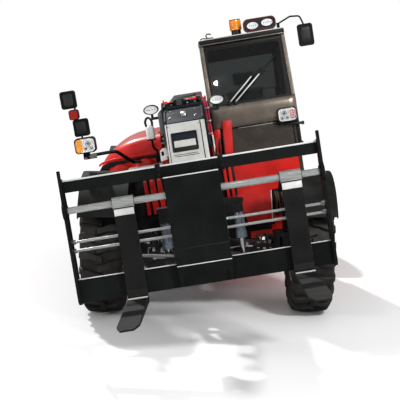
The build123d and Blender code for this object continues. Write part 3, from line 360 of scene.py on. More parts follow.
@dataclass(frozen=True)
class Rubber:
    """Moulded rubber or matt plastic with a fine grain and dust."""

    name: str
    colour: Colour
    roughness: float = 0.72
    dust: float = 0.35
    grain_scale: float = 190.0
    bump: float = 0.25
    dust_height: float = 1.4
    specular: float = 0.5

    def material(self, effects: SharedEffects) -> bpy.types.Material:
        """Build the finish as a node material."""
        made, n, surface = begun(self.name)
        place = n.add("ShaderNodeTexCoord")
        grain = n.add("ShaderNodeTexVoronoi", {"Vector": place.outputs["Object"], "Scale": self.grain_scale})
        mottle = effects.place(n, effects.mottle, Scale=6.0)
        dust = effects.place(n, effects.dust, Amount=self.dust, Height=self.dust_height)
        lighter = tuple(channel * 1.7 + 0.004 for channel in self.colour)
        base = n.blend(n.ramp(mottle.outputs["Broad"], 0.35, 0.75), rgba(self.colour), rgba(lighter))
        base = n.blend(dust.outputs["Mask"], base, rgba(tuple(channel * 0.55 for channel in DUST_COLOUR)))
        rough = n.ramp(mottle.outputs["Broad"], 0.3, 0.7, self.roughness * 0.9, min(1.0, self.roughness * 1.15))
        wear = effects.place(n, effects.wear, Amount=0.0, Radius=0.003)
        bump = n.add("ShaderNodeBump", {"Height": grain.outputs["Distance"], "Normal": wear.outputs["Normal"],
                                        "Strength": self.bump, "Distance": 0.001})
        n.wire(surface, {"Base Color": base, "Roughness": rough, "Normal": bump.outputs[0]})
        n.wire(surface, {"Specular IOR Level": self.specular})
        return made


@dataclass(frozen=True)
class ClearGlass:
    """Tinted glass or a clear lens, with faint smears in its gloss."""

    name: str
    colour: Colour
    roughness: float = 0.02
    transmission: float = 1.0
    passes: float = 0.85

    def material(self, effects: SharedEffects) -> bpy.types.Material:
        """Build the finish as a node material."""
        made, n, surface = begun(self.name)
        mottle = effects.place(n, effects.mottle, Scale=5.0)
        rough = n.ramp(mottle.outputs["Streaks"], 0.45, 0.8, self.roughness, self.roughness + 0.05)
        shade = tuple(channel * 0.94 for channel in self.colour)
        base = n.blend(n.ramp(mottle.outputs["Broad"], 0.35, 0.7), rgba(shade), rgba(self.colour))
        shadow = n.add("ShaderNodeLightPath").outputs["Is Shadow Ray"]
        solid = n.maths("MULTIPLY_ADD", shadow, -self.passes, 1.0)
        n.wire(surface, {"Roughness": rough, "Base Color": base, "Transmission Weight": self.transmission,
                         "IOR": GLASS_IOR, "Alpha": solid})
        return made


@dataclass(frozen=True)
class Leather:
    """Seat cover: pebbled grain with a soft sheen."""

    name: str
    colour: Colour
    weave: float = 420.0

    def material(self, effects: SharedEffects) -> bpy.types.Material:
        """Build the finish as a node material."""
        made, n, surface = begun(self.name)
        place = n.add("ShaderNodeTexCoord")
        pebbles = n.add("ShaderNodeTexVoronoi", {"Vector": place.outputs["Object"], "Scale": self.weave})
        mottle = effects.place(n, effects.mottle, Scale=8.0)
        lighter = tuple(channel * 1.6 + 0.003 for channel in self.colour)
        base = n.blend(n.ramp(mottle.outputs["Broad"], 0.3, 0.7), rgba(self.colour), rgba(lighter))
        rough = n.ramp(mottle.outputs["Broad"], 0.3, 0.7, 0.5, 0.68)
        bump = n.add("ShaderNodeBump", {"Height": pebbles.outputs["Distance"], "Strength": 0.35, "Distance": 0.001})
        n.wire(surface, {"Base Color": base, "Roughness": rough, "Normal": bump.outputs[0]})
        n.wire(surface, {"Sheen Weight": SEAT_SHEEN})
        return made


class Finishes:
    """Every finish of the machine, by a plain name, built when it is first asked for."""

    KINDS = (
        Paint("red_enamel", (0.68, 0.012, 0.007), roughness=0.34, coat=0.35, wear=0.12, dust=0.03, specular=0.35),
        # bay_enamel and chassis_enamel are red_enamel with near-black painted shade below a height, in part the frame's
        # dark underside.
        Paint("bay_enamel", (0.68, 0.012, 0.007), roughness=0.34, coat=0.35, wear=0.12, dust=0.03, specular=0.35,
              painted_shade_below=1.32),
        Paint("chassis_enamel", (0.68, 0.012, 0.007), roughness=0.34, coat=0.35, wear=0.12, dust=0.03, specular=0.35,
              painted_shade_below=1.16),
        Paint("dark_red", (0.16, 0.006, 0.008), roughness=0.34, coat=0.3, wear=0.05, dust=0.0),
        # cab_highlight_enamel is a lighter, shinier copy of cab_enamel: painted highlight on the cowl, the pillar
        # covers and the drip rail.
        Paint("cab_highlight_enamel", (0.26, 0.215, 0.175), roughness=0.26, coat=0.5, metallic=0.65, wear=0.06, dust=0.03),
        # bright_edge is light grey paint for strips that are painted highlights on edges and arms; it is also used on
        # the small axle valves.
        Paint("bright_edge", (0.62, 0.62, 0.61), roughness=0.3, coat=0.2, metallic=0.1, wear=0.1, dust=0.0,
              bare=(0.4, 0.4, 0.4)),
        Paint("guard_plastic", (0.0045, 0.0045, 0.0045), roughness=0.55, coat=0.0, wear=0.05, dust=0.03,
              specular=0.18),
        Paint("cab_enamel", (0.07, 0.055, 0.043), roughness=0.28, coat=0.5, metallic=0.35, wear=0.1, dust=0.05),
        Paint("black_enamel", (0.003, 0.0037, 0.0037), roughness=0.46, coat=0.0, wear=0.08, dust=0.004,
              bare=(0.09, 0.09, 0.09), specular=0.16),
        Paint("frame_enamel", (0.011, 0.012, 0.013), roughness=0.5, coat=0.0, wear=0.15, dust=0.12,
              specular=0.3),
        Paint("silver_enamel", (0.5, 0.5, 0.48), roughness=0.3, coat=0.3, metallic=0.15, wear=0.25, dust=0.05,
              bare=(0.18, 0.18, 0.18)),
        Paint("slate_enamel", (0.007, 0.0105, 0.015), roughness=0.58, coat=0.0, wear=0.1, dust=0.02, specular=0.14),
        Paint("wheel_enamel", (0.3, 0.29, 0.28), roughness=0.42, coat=0.2, wear=0.3, dust=0.45),
        Paint("fork_forging", (0.0062, 0.0065, 0.0062), roughness=0.5, coat=0.0, wear=0.3,
              bare=(0.2, 0.195, 0.19), dust=0.012, edge_radius=0.006, specular=0.16),
        Paint("white_plastic", (0.8, 0.79, 0.77), roughness=0.35, coat=0.2, wear=0.0, dust=0.08),
        Paint("dark_interior", (0.012, 0.013, 0.014), roughness=0.55, coat=0.0, wear=0.0, dust=0.0),
        Paint("grey_trim", (0.12, 0.125, 0.13), roughness=0.55, coat=0.0, wear=0.0, dust=0.05),
        BareMetal("brushed_shaft", (0.66, 0.68, 0.66), roughness=0.2, grain=0.12, metallic=0.72, dust=0.04),
        BareMetal("chrome", (0.88, 0.88, 0.9), roughness=0.1, grain=0.1, dust=0.06),
        BareMetal("steel_pipe", (0.2, 0.235, 0.28), roughness=0.3, grain=0.1, metallic=0.6, dust=0.02),
        Paint("lamp_white", (0.9, 0.91, 0.91), roughness=0.2, coat=0.4, wear=0.0, dust=0.0),
        BareMetal("mirror_silver", (0.8, 0.82, 0.84), roughness=0.04, grain=0.02, dust=0.02),
        BareMetal("zinc_bolts", (0.62, 0.62, 0.6), roughness=0.34, grain_scale=(40.0, 40.0, 40.0)),
        BareMetal("cast_iron", (0.055, 0.056, 0.058), roughness=0.55, grain=1.2, grain_scale=(60.0, 60.0, 60.0),
                  metallic=0.6, dust=0.45),
        Rubber("tyre_rubber", (0.0075, 0.0068, 0.0055), roughness=0.6, dust=0.1, specular=0.32),
        Rubber("black_plastic", (0.0075, 0.0078, 0.008), roughness=0.4, dust=0.03, bump=0.1, grain_scale=320.0,
               specular=0.4),
        Rubber("hose_rubber", (0.007, 0.007, 0.007), roughness=0.42, dust=0.05, bump=0.08, specular=0.4),
        Rubber("red_hose", (0.3, 0.012, 0.03), roughness=0.4, dust=0.03, bump=0.08, specular=0.5),
        Rubber("brown_hose", (0.06, 0.026, 0.012), roughness=0.45, dust=0.05, bump=0.08, specular=0.4),
        Rubber("seal_rubber", (0.004, 0.004, 0.0045), roughness=0.55, dust=0.02, bump=0.05, specular=0.3),
        ClearGlass("cab_glass", (0.3, 0.32, 0.32), passes=0.6),
        ClearGlass("clear_lens", (0.96, 0.97, 0.97), roughness=0.03),
        Paint("amber_glow", (0.85, 0.26, 0.012), roughness=0.14, coat=0.8, wear=0.0, dust=0.0),
        ClearGlass("amber_lens", (1.0, 0.33, 0.02), roughness=0.08, transmission=0.75),
        ClearGlass("red_lens", (0.85, 0.03, 0.02), roughness=0.08, transmission=0.7),
        Leather("seat_cover", (0.03, 0.031, 0.033)),
    )

    def __init__(self) -> None:
        """Keep the shared effects and the finishes made so far."""
        self.effects = SharedEffects()
        self.made: dict[str, bpy.types.Material] = {}

    def __getitem__(self, name: str) -> bpy.types.Material:
        """The material of that finish."""
        if name not in self.made:
            kind = next(kind for kind in self.KINDS if kind.name == name)
            self.made[name] = kind.material(self.effects)
        return self.made[name]


class Form:
    """A closed mesh that is drawn in one drawing and then placed in the frame."""

    def __init__(self, place: Matrix, finishes: Finishes | None = None) -> None:
        """Start an empty mesh that will be placed by the matrix, and dressed from the finishes if it is a piece."""
        self.place = place
        self.finishes = finishes
        self.mesh = bmesh.new()

    def block(self, low: Point, high: Point, bevel: float = 0.0, turn: Matrix | None = None) -> "Form":
        """Add a box with rounded edges.

        Args:
            low: its lowest corner.
            high: its highest corner.
            bevel: the radius of its edges.
            turn: a rotation about its centre.

        Returns:
            The form.
        """
        made = bmesh.ops.create_cube(self.mesh, size=1.0)["verts"]
        low, high = Vector(low), Vector(high)
        centre, size = (low + high) / 2, high - low
        for vert in made:
            at = Vector([c * s for c, s in zip(vert.co, size)])
            vert.co = centre + (turn @ at if turn else at)
        self._round([edge for vert in made for edge in vert.link_edges], bevel)
        return self

    def _round(self, edges: Iterable[bmesh.types.BMEdge], radius: float, segments: int = 2) -> None:
        """Round some edges, each taken once and in a fixed order, where a radius is given."""
        if radius > 0.0:
            bmesh.ops.bevel(self.mesh, geom=list(dict.fromkeys(edges)), offset=radius, segments=segments, profile=0.5,
                            affect="EDGES", clamp_overlap=True)

    def prism(self, outline: Sequence[Point], axis: Axis, start: float, end: float, bevel: float = 0.0) -> "Form":
        """Add an outline pushed along an axis.

        Args:
            outline: corners in the two other axes, in their order.
            axis: the axis that the outline is pushed along.
            start: where it starts.
            end: where it ends.
            bevel: the radius of its edges.

        Returns:
            The form.
        """
        rings = []
        for level in (start, end):
            ring = []
            for point in outline:
                at = list(point)
                at.insert(axis.value, level)
                ring.append(self.mesh.verts.new(at))
            rings.append(ring)
        faces = [self.mesh.faces.new(rings[0]), self.mesh.faces.new(list(reversed(rings[1])))]
        count = len(outline)
        for index in range(count):
            following = (index + 1) % count
            faces.append(self.mesh.faces.new((rings[0][index], rings[1][index], rings[1][following],
                                              rings[0][following])))
        self._round([edge for face in faces for edge in face.edges], bevel)
        return self

    def turned(self, profile: Sequence[Point], centre: Point, axis: Point, segments: int = 32,
               ring: bool = False) -> "Form":
        """Add an outline turned about an axis.

        Args:
            profile: (distance along the axis, radius) points; a radius of nought closes a pole.
            centre: the point that distances are measured from.
            axis: the axis it is turned about.
            segments: how many steps make the turn.
            ring: True where the last point joins the first.

        Returns:
            The form.
        """
        along = Vector(axis).normalized()
        side = along.orthogonal().normalized()
        other = along.cross(side)
        centre = Vector(centre)
        loops = []
        for distance, radius in profile:
            base = centre + along * distance
            if radius == 0.0:
                loops.append([self.mesh.verts.new(base)])
                continue
            steps = [2 * math.pi * step / segments for step in range(segments)]
            loops.append([self.mesh.verts.new(base + (side * math.cos(a) + other * math.sin(a)) * radius)
                          for a in steps])
        pairs = list(zip(loops, loops[1:])) + ([(loops[-1], loops[0])] if ring else [])
        for first, second in pairs:
            self.skin(first, second)
        return self

    def skin(self, first: list, second: list) -> None:
        """Join two loops of vertices, either of which may be a single pole."""
        count = max(len(first), len(second))
        for step in range(count):
            following = (step + 1) % count
            corners = [first[step % len(first)], second[step % len(second)], second[following % len(second)],
                       first[following % len(first)]]
            self.mesh.faces.new(list(dict.fromkeys(corners)))

    def loft(self, rings: Sequence[Sequence[Point]]) -> "Form":
        """Add a skin over rings with as many points each, closed at both ends."""
        loops = [[self.mesh.verts.new(point) for point in ring] for ring in rings]
        for first, second in zip(loops, loops[1:]):
            self.skin(first, second)
        self.mesh.faces.new(loops[0])
        self.mesh.faces.new(list(reversed(loops[-1])))
        return self

    def relief(self, outline: Sequence[Point], front: float, steps: Sequence[Point],
               centre: Point | None = None) -> "Form":
        """Add a raised face on the Y axis.

        Args:
            outline: its (x, z) outline.
            front: the y that it stands forward of.
            steps: (share of the outline, how far forward) for each step.
            centre: the point that the outline is drawn in to, if not its middle.

        Returns:
            The form.
        """
        return self.loft([[(x, front - out, z) for x, z in scaled(outline, share, centre)] for share, out in steps])

    def collar(self, outer: Sequence[Point], inner: Sequence[Point], axis: Axis, start: float, end: float) -> "Form":
        """Add a frame between two outlines with as many points each.

        Args:
            outer: the outer outline, in the two other axes.
            inner: the outline of its hole.
            axis: the axis that it is as deep along.
            start: where it starts on that axis.
            end: where it ends.

        Returns:
            The form.
        """
        loops = []
        for outline, level in ((outer, start), (outer, end), (inner, end), (inner, start)):
            loop = []
            for point in outline:
                at = list(point)
                at.insert(axis.value, level)
                loop.append(self.mesh.verts.new(at))
            loops.append(loop)
        for first, second in zip(loops, loops[1:] + loops[:1]):
            self.skin(first, second)
        return self

    def rod(self, start: Point, end: Point, radius: float, segments: int = 16, chamfer: float = 0.0) -> "Form":
        """Add a round bar with chamfered ends."""
        start, end = Vector(start), Vector(end)
        length = (end - start).length
        cut = chamfer or radius * 0.12
        profile = [(0, 0), (0, radius - cut), (cut, radius), (length - cut, radius), (length, radius - cut),
                   (length, 0)]
        return self.turned(profile, start, end - start, segments)

    def hose(self, route: Sequence[Point], radius: float, segments: int = 10, steps: int = 8,
             flat: float = 1.0) -> "Form":
        """Add a round or flattened tube along a smooth line through the route's points.

        Args:
            route: the points that it passes.
            radius: its radius.
            segments: how many sides it has.
            steps: how many pieces each run is divided into.
            flat: its second radius, as a share of the first.

        Returns:
            The form.
        """
        line = smooth_line([Vector(point) for point in route], steps)
        heading = (line[1] - line[0]).normalized()
        side = heading.orthogonal().normalized()
        rings = []
        for index, at in enumerate(line):
            ahead = line[min(index + 1, len(line) - 1)] - line[max(index - 1, 0)]
            side = heading.rotation_difference(ahead.normalized()) @ side
            heading = ahead.normalized()
            other = heading.cross(side)
            angles = [2 * math.pi * step / segments for step in range(segments)]
            rings.append([self.mesh.verts.new(at + side * math.cos(a) * radius + other * math.sin(a) * radius * flat)
                          for a in angles])
        poles = [[self.mesh.verts.new(line[0])], [self.mesh.verts.new(line[-1])]]
        for first, second in zip([poles[0], *rings], [*rings, poles[1]]):
            self.skin(first, second)
        return self

    def bent(self, route: Sequence[Point], radius: float, segments: int = 10) -> "Form":
        """Add a tube with tight bends at the route's corners."""
        points = [Vector(point) for point in route]
        line = [points[0]]
        for before, corner, after in zip(points, points[1:], points[2:]):
            reach = min(3.0 * radius, (before - corner).length / 2.2, (after - corner).length / 2.2)
            start, end = corner + (before - corner).normalized() * reach, corner + (after - corner).normalized() * reach
            line += [start.lerp(corner, t).lerp(corner.lerp(end, t), t) for t in (0.0, 0.25, 0.5, 0.75, 1.0)]
        line.append(points[-1])
        return self.hose(line, radius, segments, steps=1)

    def bolt(self, at: Point, outward: Point, size: float = 0.012, washer: bool = True) -> "Form":
        """Add a hexagon head on its washer."""
        if washer:
            self.turned([(-0.002, 0), (-0.002, size * 1.25), (size * 0.15, size * 1.25), (size * 0.2, 0)], at,
                        outward, 20)
        self.turned([(0, 0), (0, size), (size * 0.72, size), (size * 0.85, size * 0.82), (size * 0.85, 0)], at,
                    outward, 6)
        return self

    def mesh_data(self, name: str) -> bpy.types.Mesh:
        """Close the drawing and return its placed mesh, faces outward."""
        bmesh.ops.recalc_face_normals(self.mesh, faces=self.mesh.faces)
        bmesh.ops.transform(self.mesh, matrix=self.place, verts=self.mesh.verts)
        data = bpy.data.meshes.new(name)
        self.mesh.to_mesh(data)
        self.mesh.free()
        return data

    def made(self, name: str, finish: str, body: str, slot: str = "", replaced: Sequence[str] = ()) -> bpy.types.Object:
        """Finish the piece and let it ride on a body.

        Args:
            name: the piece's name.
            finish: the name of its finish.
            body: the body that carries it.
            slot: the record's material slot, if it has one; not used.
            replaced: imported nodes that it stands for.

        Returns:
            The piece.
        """
        return settle(self.mesh_data(name), name, self.finishes[finish], body, replaced)


def smooth_line(points: Sequence[Vector], steps: int) -> list[Vector]:
    """A Catmull-Rom line through the points."""
    if steps < 2 or len(points) < 3:
        return list(points)
    ends = [points[0] * 2 - points[1], *points, points[-1] * 2 - points[-2]]
    line = []
    for before, start, end, after in zip(ends, ends[1:], ends[2:], ends[3:]):
        for step in range(steps):
            t = step / steps
            line.append(0.5 * (2 * start + (end - before) * t + (2 * before - 5 * start + 4 * end - after) * t ** 2
                               + (3 * start - before - 3 * end + after) * t ** 3))
    return line + [points[-1]]


def settle(data: bpy.types.Mesh, name: str, finish: bpy.types.Material, body: str,
           replaced: Sequence[str] = (), angle: float = 35.0) -> bpy.types.Object:
    """Turn a placed mesh into a dressed piece that rides on a body."""
    data.materials.clear()
    data.materials.append(finish)
    data.shade_smooth()
    data.set_sharp_from_angle(angle=math.radians(angle))
    piece = bpy.data.objects.new(name, data)
    bpy.context.scene.collection.objects.link(piece)
    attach(piece, body)
    if replaced:
        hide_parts(*replaced)
    log.info("piece %s on %s, %d faces", name, body, len(data.polygons))
    return piece


class Repeater:
    """Geometry Nodes that repeat one drawn item round the X axis or along a line."""

    def __init__(self) -> None:
        """Build both trees."""
        self.ring = self._tree("Ring of items", round_axis=True)
        self.row = self._tree("Row of items", round_axis=False)

    @staticmethod
    def _tree(name: str, round_axis: bool) -> bpy.types.NodeTree:
        """Build one tree with its named inputs."""
        tree = bpy.data.node_groups.new(name, "GeometryNodeTree")
        face = tree.interface
        face.new_socket("Geometry", in_out="INPUT", socket_type="NodeSocketGeometry")
        face.new_socket("Item", in_out="INPUT", socket_type="NodeSocketObject")
        face.new_socket("Count", in_out="INPUT", socket_type="NodeSocketInt")
        face.new_socket("Start angle", in_out="INPUT", socket_type="NodeSocketFloat")
        face.new_socket("Step", in_out="INPUT", socket_type="NodeSocketVector")
        face.new_socket("Finish", in_out="INPUT", socket_type="NodeSocketMaterial")
        face.new_socket("Geometry", in_out="OUTPUT", socket_type="NodeSocketGeometry")
        n = Nodes(tree)
        given, out = n.add("NodeGroupInput"), n.add("NodeGroupOutput")
        item = n.add("GeometryNodeObjectInfo", {"Object": given.outputs["Item"]})
        line = n.add("GeometryNodeMeshLine", {"Count": given.outputs["Count"]}, mode="OFFSET")
        place = n.add("GeometryNodeInstanceOnPoints", {"Points": line.outputs[0], "Instance": item.outputs["Geometry"]})
        if round_axis:
            line.inputs["Offset"].default_value = (0.0, 0.0, 0.0)
            index = n.add("GeometryNodeInputIndex")
            share = n.maths("DIVIDE", index.outputs[0], given.outputs["Count"])
            angle = n.maths("MULTIPLY_ADD", share, 2 * math.pi, given.outputs["Start angle"])
            turn = n.add("ShaderNodeCombineXYZ", {"X": angle})
            tree.links.new(turn.outputs[0], place.inputs["Rotation"])
        else:
            tree.links.new(given.outputs["Step"], line.inputs["Offset"])
        real = n.add("GeometryNodeRealizeInstances", {"Geometry": place.outputs[0]})
        dressed = n.add("GeometryNodeSetMaterial", {"Geometry": real.outputs[0], "Material": given.outputs["Finish"]})
        tree.links.new(dressed.outputs[0], out.inputs[0])
        return tree

    def repeat(self, tree: bpy.types.NodeTree, item: Form, finish: bpy.types.Material, place: Matrix, name: str,
               **values: object) -> bpy.types.Mesh:
        """Repeat an item and return the placed mesh.

        Args:
            tree: the ring's or the row's tree.
            item: the drawn item.
            finish: its material.
            place: where the pattern goes in the frame.
            name: the name of the mesh.
            **values: tree inputs by name, with _ for a space.

        Returns:
            One plain mesh.
        """
        scene = bpy.context.scene.collection
        source = bpy.data.objects.new(name + "_item", item.mesh_data(name + "_item"))
        source.data.shade_smooth()
        host = bpy.data.objects.new(name + "_host", bpy.data.meshes.new(name + "_host"))
        for thing in (source, host):
            scene.objects.link(thing)
        modifier = host.modifiers.new("pattern", "NODES")
        modifier.node_group = tree
        inputs = {"Item": source, "Finish": finish, **{key.replace("_", " ").capitalize(): value
                                                      for key, value in values.items()}}
        for socket in tree.interface.items_tree:
            if socket.in_out == "INPUT" and socket.name in inputs:
                modifier[socket.identifier] = inputs[socket.name]
        graph = bpy.context.evaluated_depsgraph_get()
        graph.update()
        data = bpy.data.meshes.new_from_object(host.evaluated_get(graph))
        host.modifiers.remove(modifier)
        for thing in (source, host):
            bpy.data.objects.remove(thing)
        data.transform(place)
        data.name = name
        return data


@dataclass
class Shop:
    """What every sub-assembly needs: the places, the finishes, the repeater and the frame."""

    site: Site
    finishes: Finishes
    repeater: Repeater
    frame: dict

    def level(self) -> Form:
        """A new form in the level drawing."""
        return Form(self.site.level, self.finishes)

    def ground_form(self) -> Form:
        """A new form in the drawing of the axle, which stands level on the ground."""
        return Form(self.site.ground, self.finishes)

    def carriage(self) -> Form:
        """A new form in the carriage drawing."""
        return Form(self.site.carriage, self.finishes)

    def face(self) -> Form:
        """A new form on the head's sloping face: z runs up the face from its top edge, y into it."""
        return Form(self.site.level @ Matrix.Translation((0.0, -1.12, 1.943)) @ Matrix.Rotation(FACE_LEAN, 4, "X"),
                    self.finishes)

    def screen(self) -> Form:
        """A new form on the windscreen: z runs up the glass from the sill, y into the cab."""
        return Form(self.site.level @ Matrix.Translation((0.0, 0.78, 1.9)) @ Matrix.Rotation(SCREEN_LEAN, 4, "X"),
                    self.finishes)

    def pattern(self, name: str, item: Form, finish: str, place: Matrix, body: str, slot: str, angle: float = 35.0,
                **values: object) -> None:
        """Repeat an item round the X axis or, where a step is given, in a row, and settle it on a body.

        Args:
            name: the pattern's name.
            item: the drawn item.
            finish: the name of its finish.
            place: where the pattern goes in the frame.
            body: the body that carries it.
            slot: the record's material slot; not used.
            angle: the angle above which its edges stay sharp, in degrees.
            **values: inputs of the pattern's tree.
        """
        tree = self.repeater.row if "step" in values else self.repeater.ring
        data = self.repeater.repeat(tree, item, self.finishes[finish], place, name, **values)
        settle(data, name, self.finishes[finish], body, angle=angle)

    def joint_at(self, name: str) -> Vector:
        """Where a joint is at rest, in the frame."""
        return Vector(next(joint for joint in self.frame["joints"] if joint["name"] == name)["pos_m"])


@dataclass
class Wheels:
    """Tyres with block tread on dished rims, one set for each corner."""

    shop: Shop
    tyre_radius: float = 0.625
    carcass_radius: float = 0.588
    half_width: float = 0.2
    lug_count: int = 22
    nut_count: int = 10
    nut_circle: float = 0.165
    hub_face: float = 0.15

    def build(self) -> None:
        """Build all four."""
        for corner in CORNERS:
            centre = self.shop.joint_at(f"{corner}_wheel_spin")
            place = Matrix.Translation(centre)
            if "right" in corner:
                place = place @ Matrix.Rotation(math.pi, 4, "Z")
            self._carcass(corner, place)
            self._tread(corner, place)
            self._nuts(corner, place)

    def _carcass(self, corner: str, place: Matrix) -> None:
        """The tyre's body with bead, sidewall rings and shoulder."""
        crown, half = self.carcass_radius, self.half_width
        outside = [(half - 0.04, 0.3125), (half - 0.036, 0.335), (half - 0.03, 0.352), (half - 0.018, 0.378),
                   (half - 0.008, 0.415), (half - 0.0125, 0.424), (half - 0.0125, 0.432), (half - 0.004, 0.437),
                   (half - 0.001, 0.47), (half - 0.006, 0.505), (half - 0.016, 0.54), (half - 0.034, 0.57),
                   (half - 0.07, crown - 0.006), (0.06, crown)]
        mirrored = [(-x, r) for x, r in reversed(outside)]
        inside = [(-0.15, 0.3125), (-0.158, 0.45), (-0.12, 0.545), (0.0, 0.556), (0.12, 0.545), (0.158, 0.45),
                  (0.15, 0.3125)]
        form = Form(place, self.shop.finishes).turned(outside + mirrored + inside, (0, 0, 0), (1, 0, 0), 96, ring=True)
        form.made(f"{corner}_tyre_carcass", "tyre_rubber", f"{corner}_wheel", "tyre",
                  [f"{corner}_tyre"])

    def _lug(self, mirrored: int) -> Form:
        """One tread block: a bent bar from the crown's middle over the shoulder."""
        form = Form(Matrix.Identity(4))
        crown, top, half = self.carcass_radius - 0.012, self.tyre_radius, self.half_width
        stations = [(-0.022, 0.0, 0.031, top), (0.045, 0.018, 0.03, top), (0.085, 0.034, 0.033, top - 0.001),
                    (0.13, 0.042, 0.037, top - 0.004), (0.163, 0.045, 0.039, top - 0.014),
                    (half - 0.003, 0.046, 0.036, 0.56), (half - 0.001, 0.046, 0.03, 0.5)]
        rings = []
        for x, shift, wide, outer in stations:
            inner = min(crown, outer - 0.03)
            ring = []
            for radius, share in ((inner, 1.08), (outer - 0.006, 1.0), (outer, 0.86), (outer, -0.86),
                                  (outer - 0.006, -1.0), (inner, -1.08)):
                angle = (shift + wide * share) / self.tyre_radius
                depth = 0.022 if x > half - 0.01 and radius == inner else 0.0
                ring.append(form.mesh.verts.new((mirrored * (x - depth), -math.sin(angle) * radius,
                                                 math.cos(angle) * radius)))
            rings.append(ring)
        for first, second in zip(rings, rings[1:]):
            form.skin(first, second)
        form.mesh.faces.new(rings[0])
        form.mesh.faces.new(list(reversed(rings[-1])))
        return form

    def _tread(self, corner: str, place: Matrix) -> None:
        """Both rows of blocks, half a step apart."""
        for name, side, start in (("inner", -1, 0.0), ("outer", 1, math.pi / self.lug_count)):
            self.shop.pattern(f"{corner}_{name}_tread", self._lug(side), "tyre_rubber", place, f"{corner}_wheel",
                              "tyre",
                              28.0, count=self.lug_count, start_angle=start)

    def _nuts(self, corner: str, place: Matrix) -> None:
        """Wheel nuts with their studs on the rim's disc."""
        item = Form(Matrix.Identity(4))
        face = self.hub_face - 0.028
        item.bolt((face, 0, self.nut_circle), (1, 0, 0), 0.017)
        item.rod((face, 0, self.nut_circle), (face + 0.028, 0, self.nut_circle), 0.009, 10)
        self.shop.pattern(f"{corner}_wheel_nuts", item, "zinc_bolts", place, f"{corner}_wheel", "steel",
                          count=self.nut_count, start_angle=0.1)


@dataclass
class ForkCarriage:
    """Painted highlights along edges, lugs, a fold line of painted shade and collars of the fork carriage, and the
    forks' eyes.
    """

    shop: Shop
    half_width: float = 1.04
    fork_places: tuple[float, float] = (-0.56, 0.77)
    shaft_height: float = 0.76
    shaft_forward: float = 0.02

    def build(self) -> None:
        """Build every trim piece of the carriage and the forks."""
        self._edges()
        self._rod_ends()
        for name, x in (("fork_right", self.fork_places[0]), ("fork_left", self.fork_places[1])):
            self._fork(name, x)

    def _edges(self) -> None:
        """Light grey strips that are painted highlights on the top bar's upper corner, the bottom plate's lip and the
        cover's edges; lugs; and a dark line at the cover's fold that is painted shade.
        """
        # Light grey strips along the edges: painted highlights.
        form = self.shop.carriage()
        form.block((-1.012, 0.0075, 0.989), (1.012, 0.016, 1.0015), 0.002)
        form.block((-1.012, 0.0042, 0.2), (-0.225, 0.01, 0.2075), 0.001)
        form.block((0.225, 0.0042, 0.2), (1.012, 0.01, 0.2075), 0.001)
        form.block((-0.219, -0.0665, 0.897), (0.219, -0.06, 0.9055), 0.0015)
        form.block((-0.219, -0.0665, 0.189), (0.219, -0.06, 0.196), 0.0015)
        form.made("carriage_ground_edges", "bright_edge", "carriage", "fork_steel")
        lugs = self.shop.carriage()
        for x in (-0.25, 0.25):
            lugs.block((x - 0.02, -0.0015, 0.93), (x + 0.02, 0.017, 1.016), 0.003)
            lugs.bolt((x, -0.0015, 0.965), (0, -1, 0), 0.01)
            lugs.block((x - 0.014, -0.0015, 0.901), (x + 0.014, 0.0098, 0.932), 0.002)
        lugs.made("carriage_bar_lugs", "black_enamel", "carriage", "paint_dark")
        # Dark line at the cover's fold: painted shade where the plate turns back.
        fold = self.shop.carriage()
        fold.block((-0.2185, -0.0662, 0.324), (0.2185, -0.06, 0.332), 0.001)
        fold.made("carriage_fold_line", "seal_rubber", "carriage", "paint_dark")

    def _rod_ends(self) -> None:
        """Collars and bosses where the shaft and the rods meet the side plates."""
        form = self.shop.carriage()
        plates = self.shop.carriage()
        for side in (-1, 1):
            for height in (0.5, 0.43):
                x = side * (self.half_width - 0.028)
                form.turned([(0, 0), (0, 0.019), (0.02, 0.019), (0.024, 0.015), (0.024, 0)], (x, 0.04, height),
                            (-side, 0, 0), 24)
            x = side * (self.half_width + 0.001)
            form.turned([(0, 0), (0, 0.034), (0.004, 0.034), (0.005, 0)], (x, -self.shaft_forward, self.shaft_height),
                        (side, 0, 0), 28)
            inner = side * (self.half_width - 0.026)
            plates.turned([(0, 0.03), (0, 0.046), (-0.016, 0.046), (-0.016, 0.03)],
                          (inner, -self.shaft_forward, self.shaft_height), (side, 0, 0), 32, ring=True)
        form.made("carriage_rod_collars", "zinc_bolts", "carriage", "steel")
        plates.made("carriage_shaft_bosses", "black_enamel", "carriage", "paint_dark")

    def _fork(self, name: str, x: float) -> None:
        """The fork's machined eye, and light grey strips at its shoulder and heel that are painted highlights."""
        centre = (x - 0.086, -self.shaft_forward, self.shaft_height)
        sleeve = self.shop.carriage()
        sleeve.turned([(0, 0.0285), (0, 0.0445), (0.003, 0.0475), (0.169, 0.0475), (0.172, 0.0445), (0.172, 0.0285)],
                      centre, (1, 0, 0), 40, ring=True)
        sleeve.made(f"{name}_eye_sleeve", "brushed_shaft", name, "steel")
        # Light grey strips at the shank's shoulder and the heel: painted highlights.
        trim = self.shop.carriage()
        trim.prism([(-0.0495, 0.66), (-0.059, 0.664), (-0.064, 0.686), (-0.064, 0.712), (-0.0495, 0.716)],
                   Axis.X, x - 0.0785, x + 0.0785, 0.002)
        trim.prism([(-0.118, -0.001), (-0.118, 0.0035), (-0.103, 0.009), (-0.098, 0.005)], Axis.X, x - 0.079,
                   x + 0.079, 0.0005)
        trim.made(f"{name}_bright_shoulder", "bright_edge", name, "fork_steel")


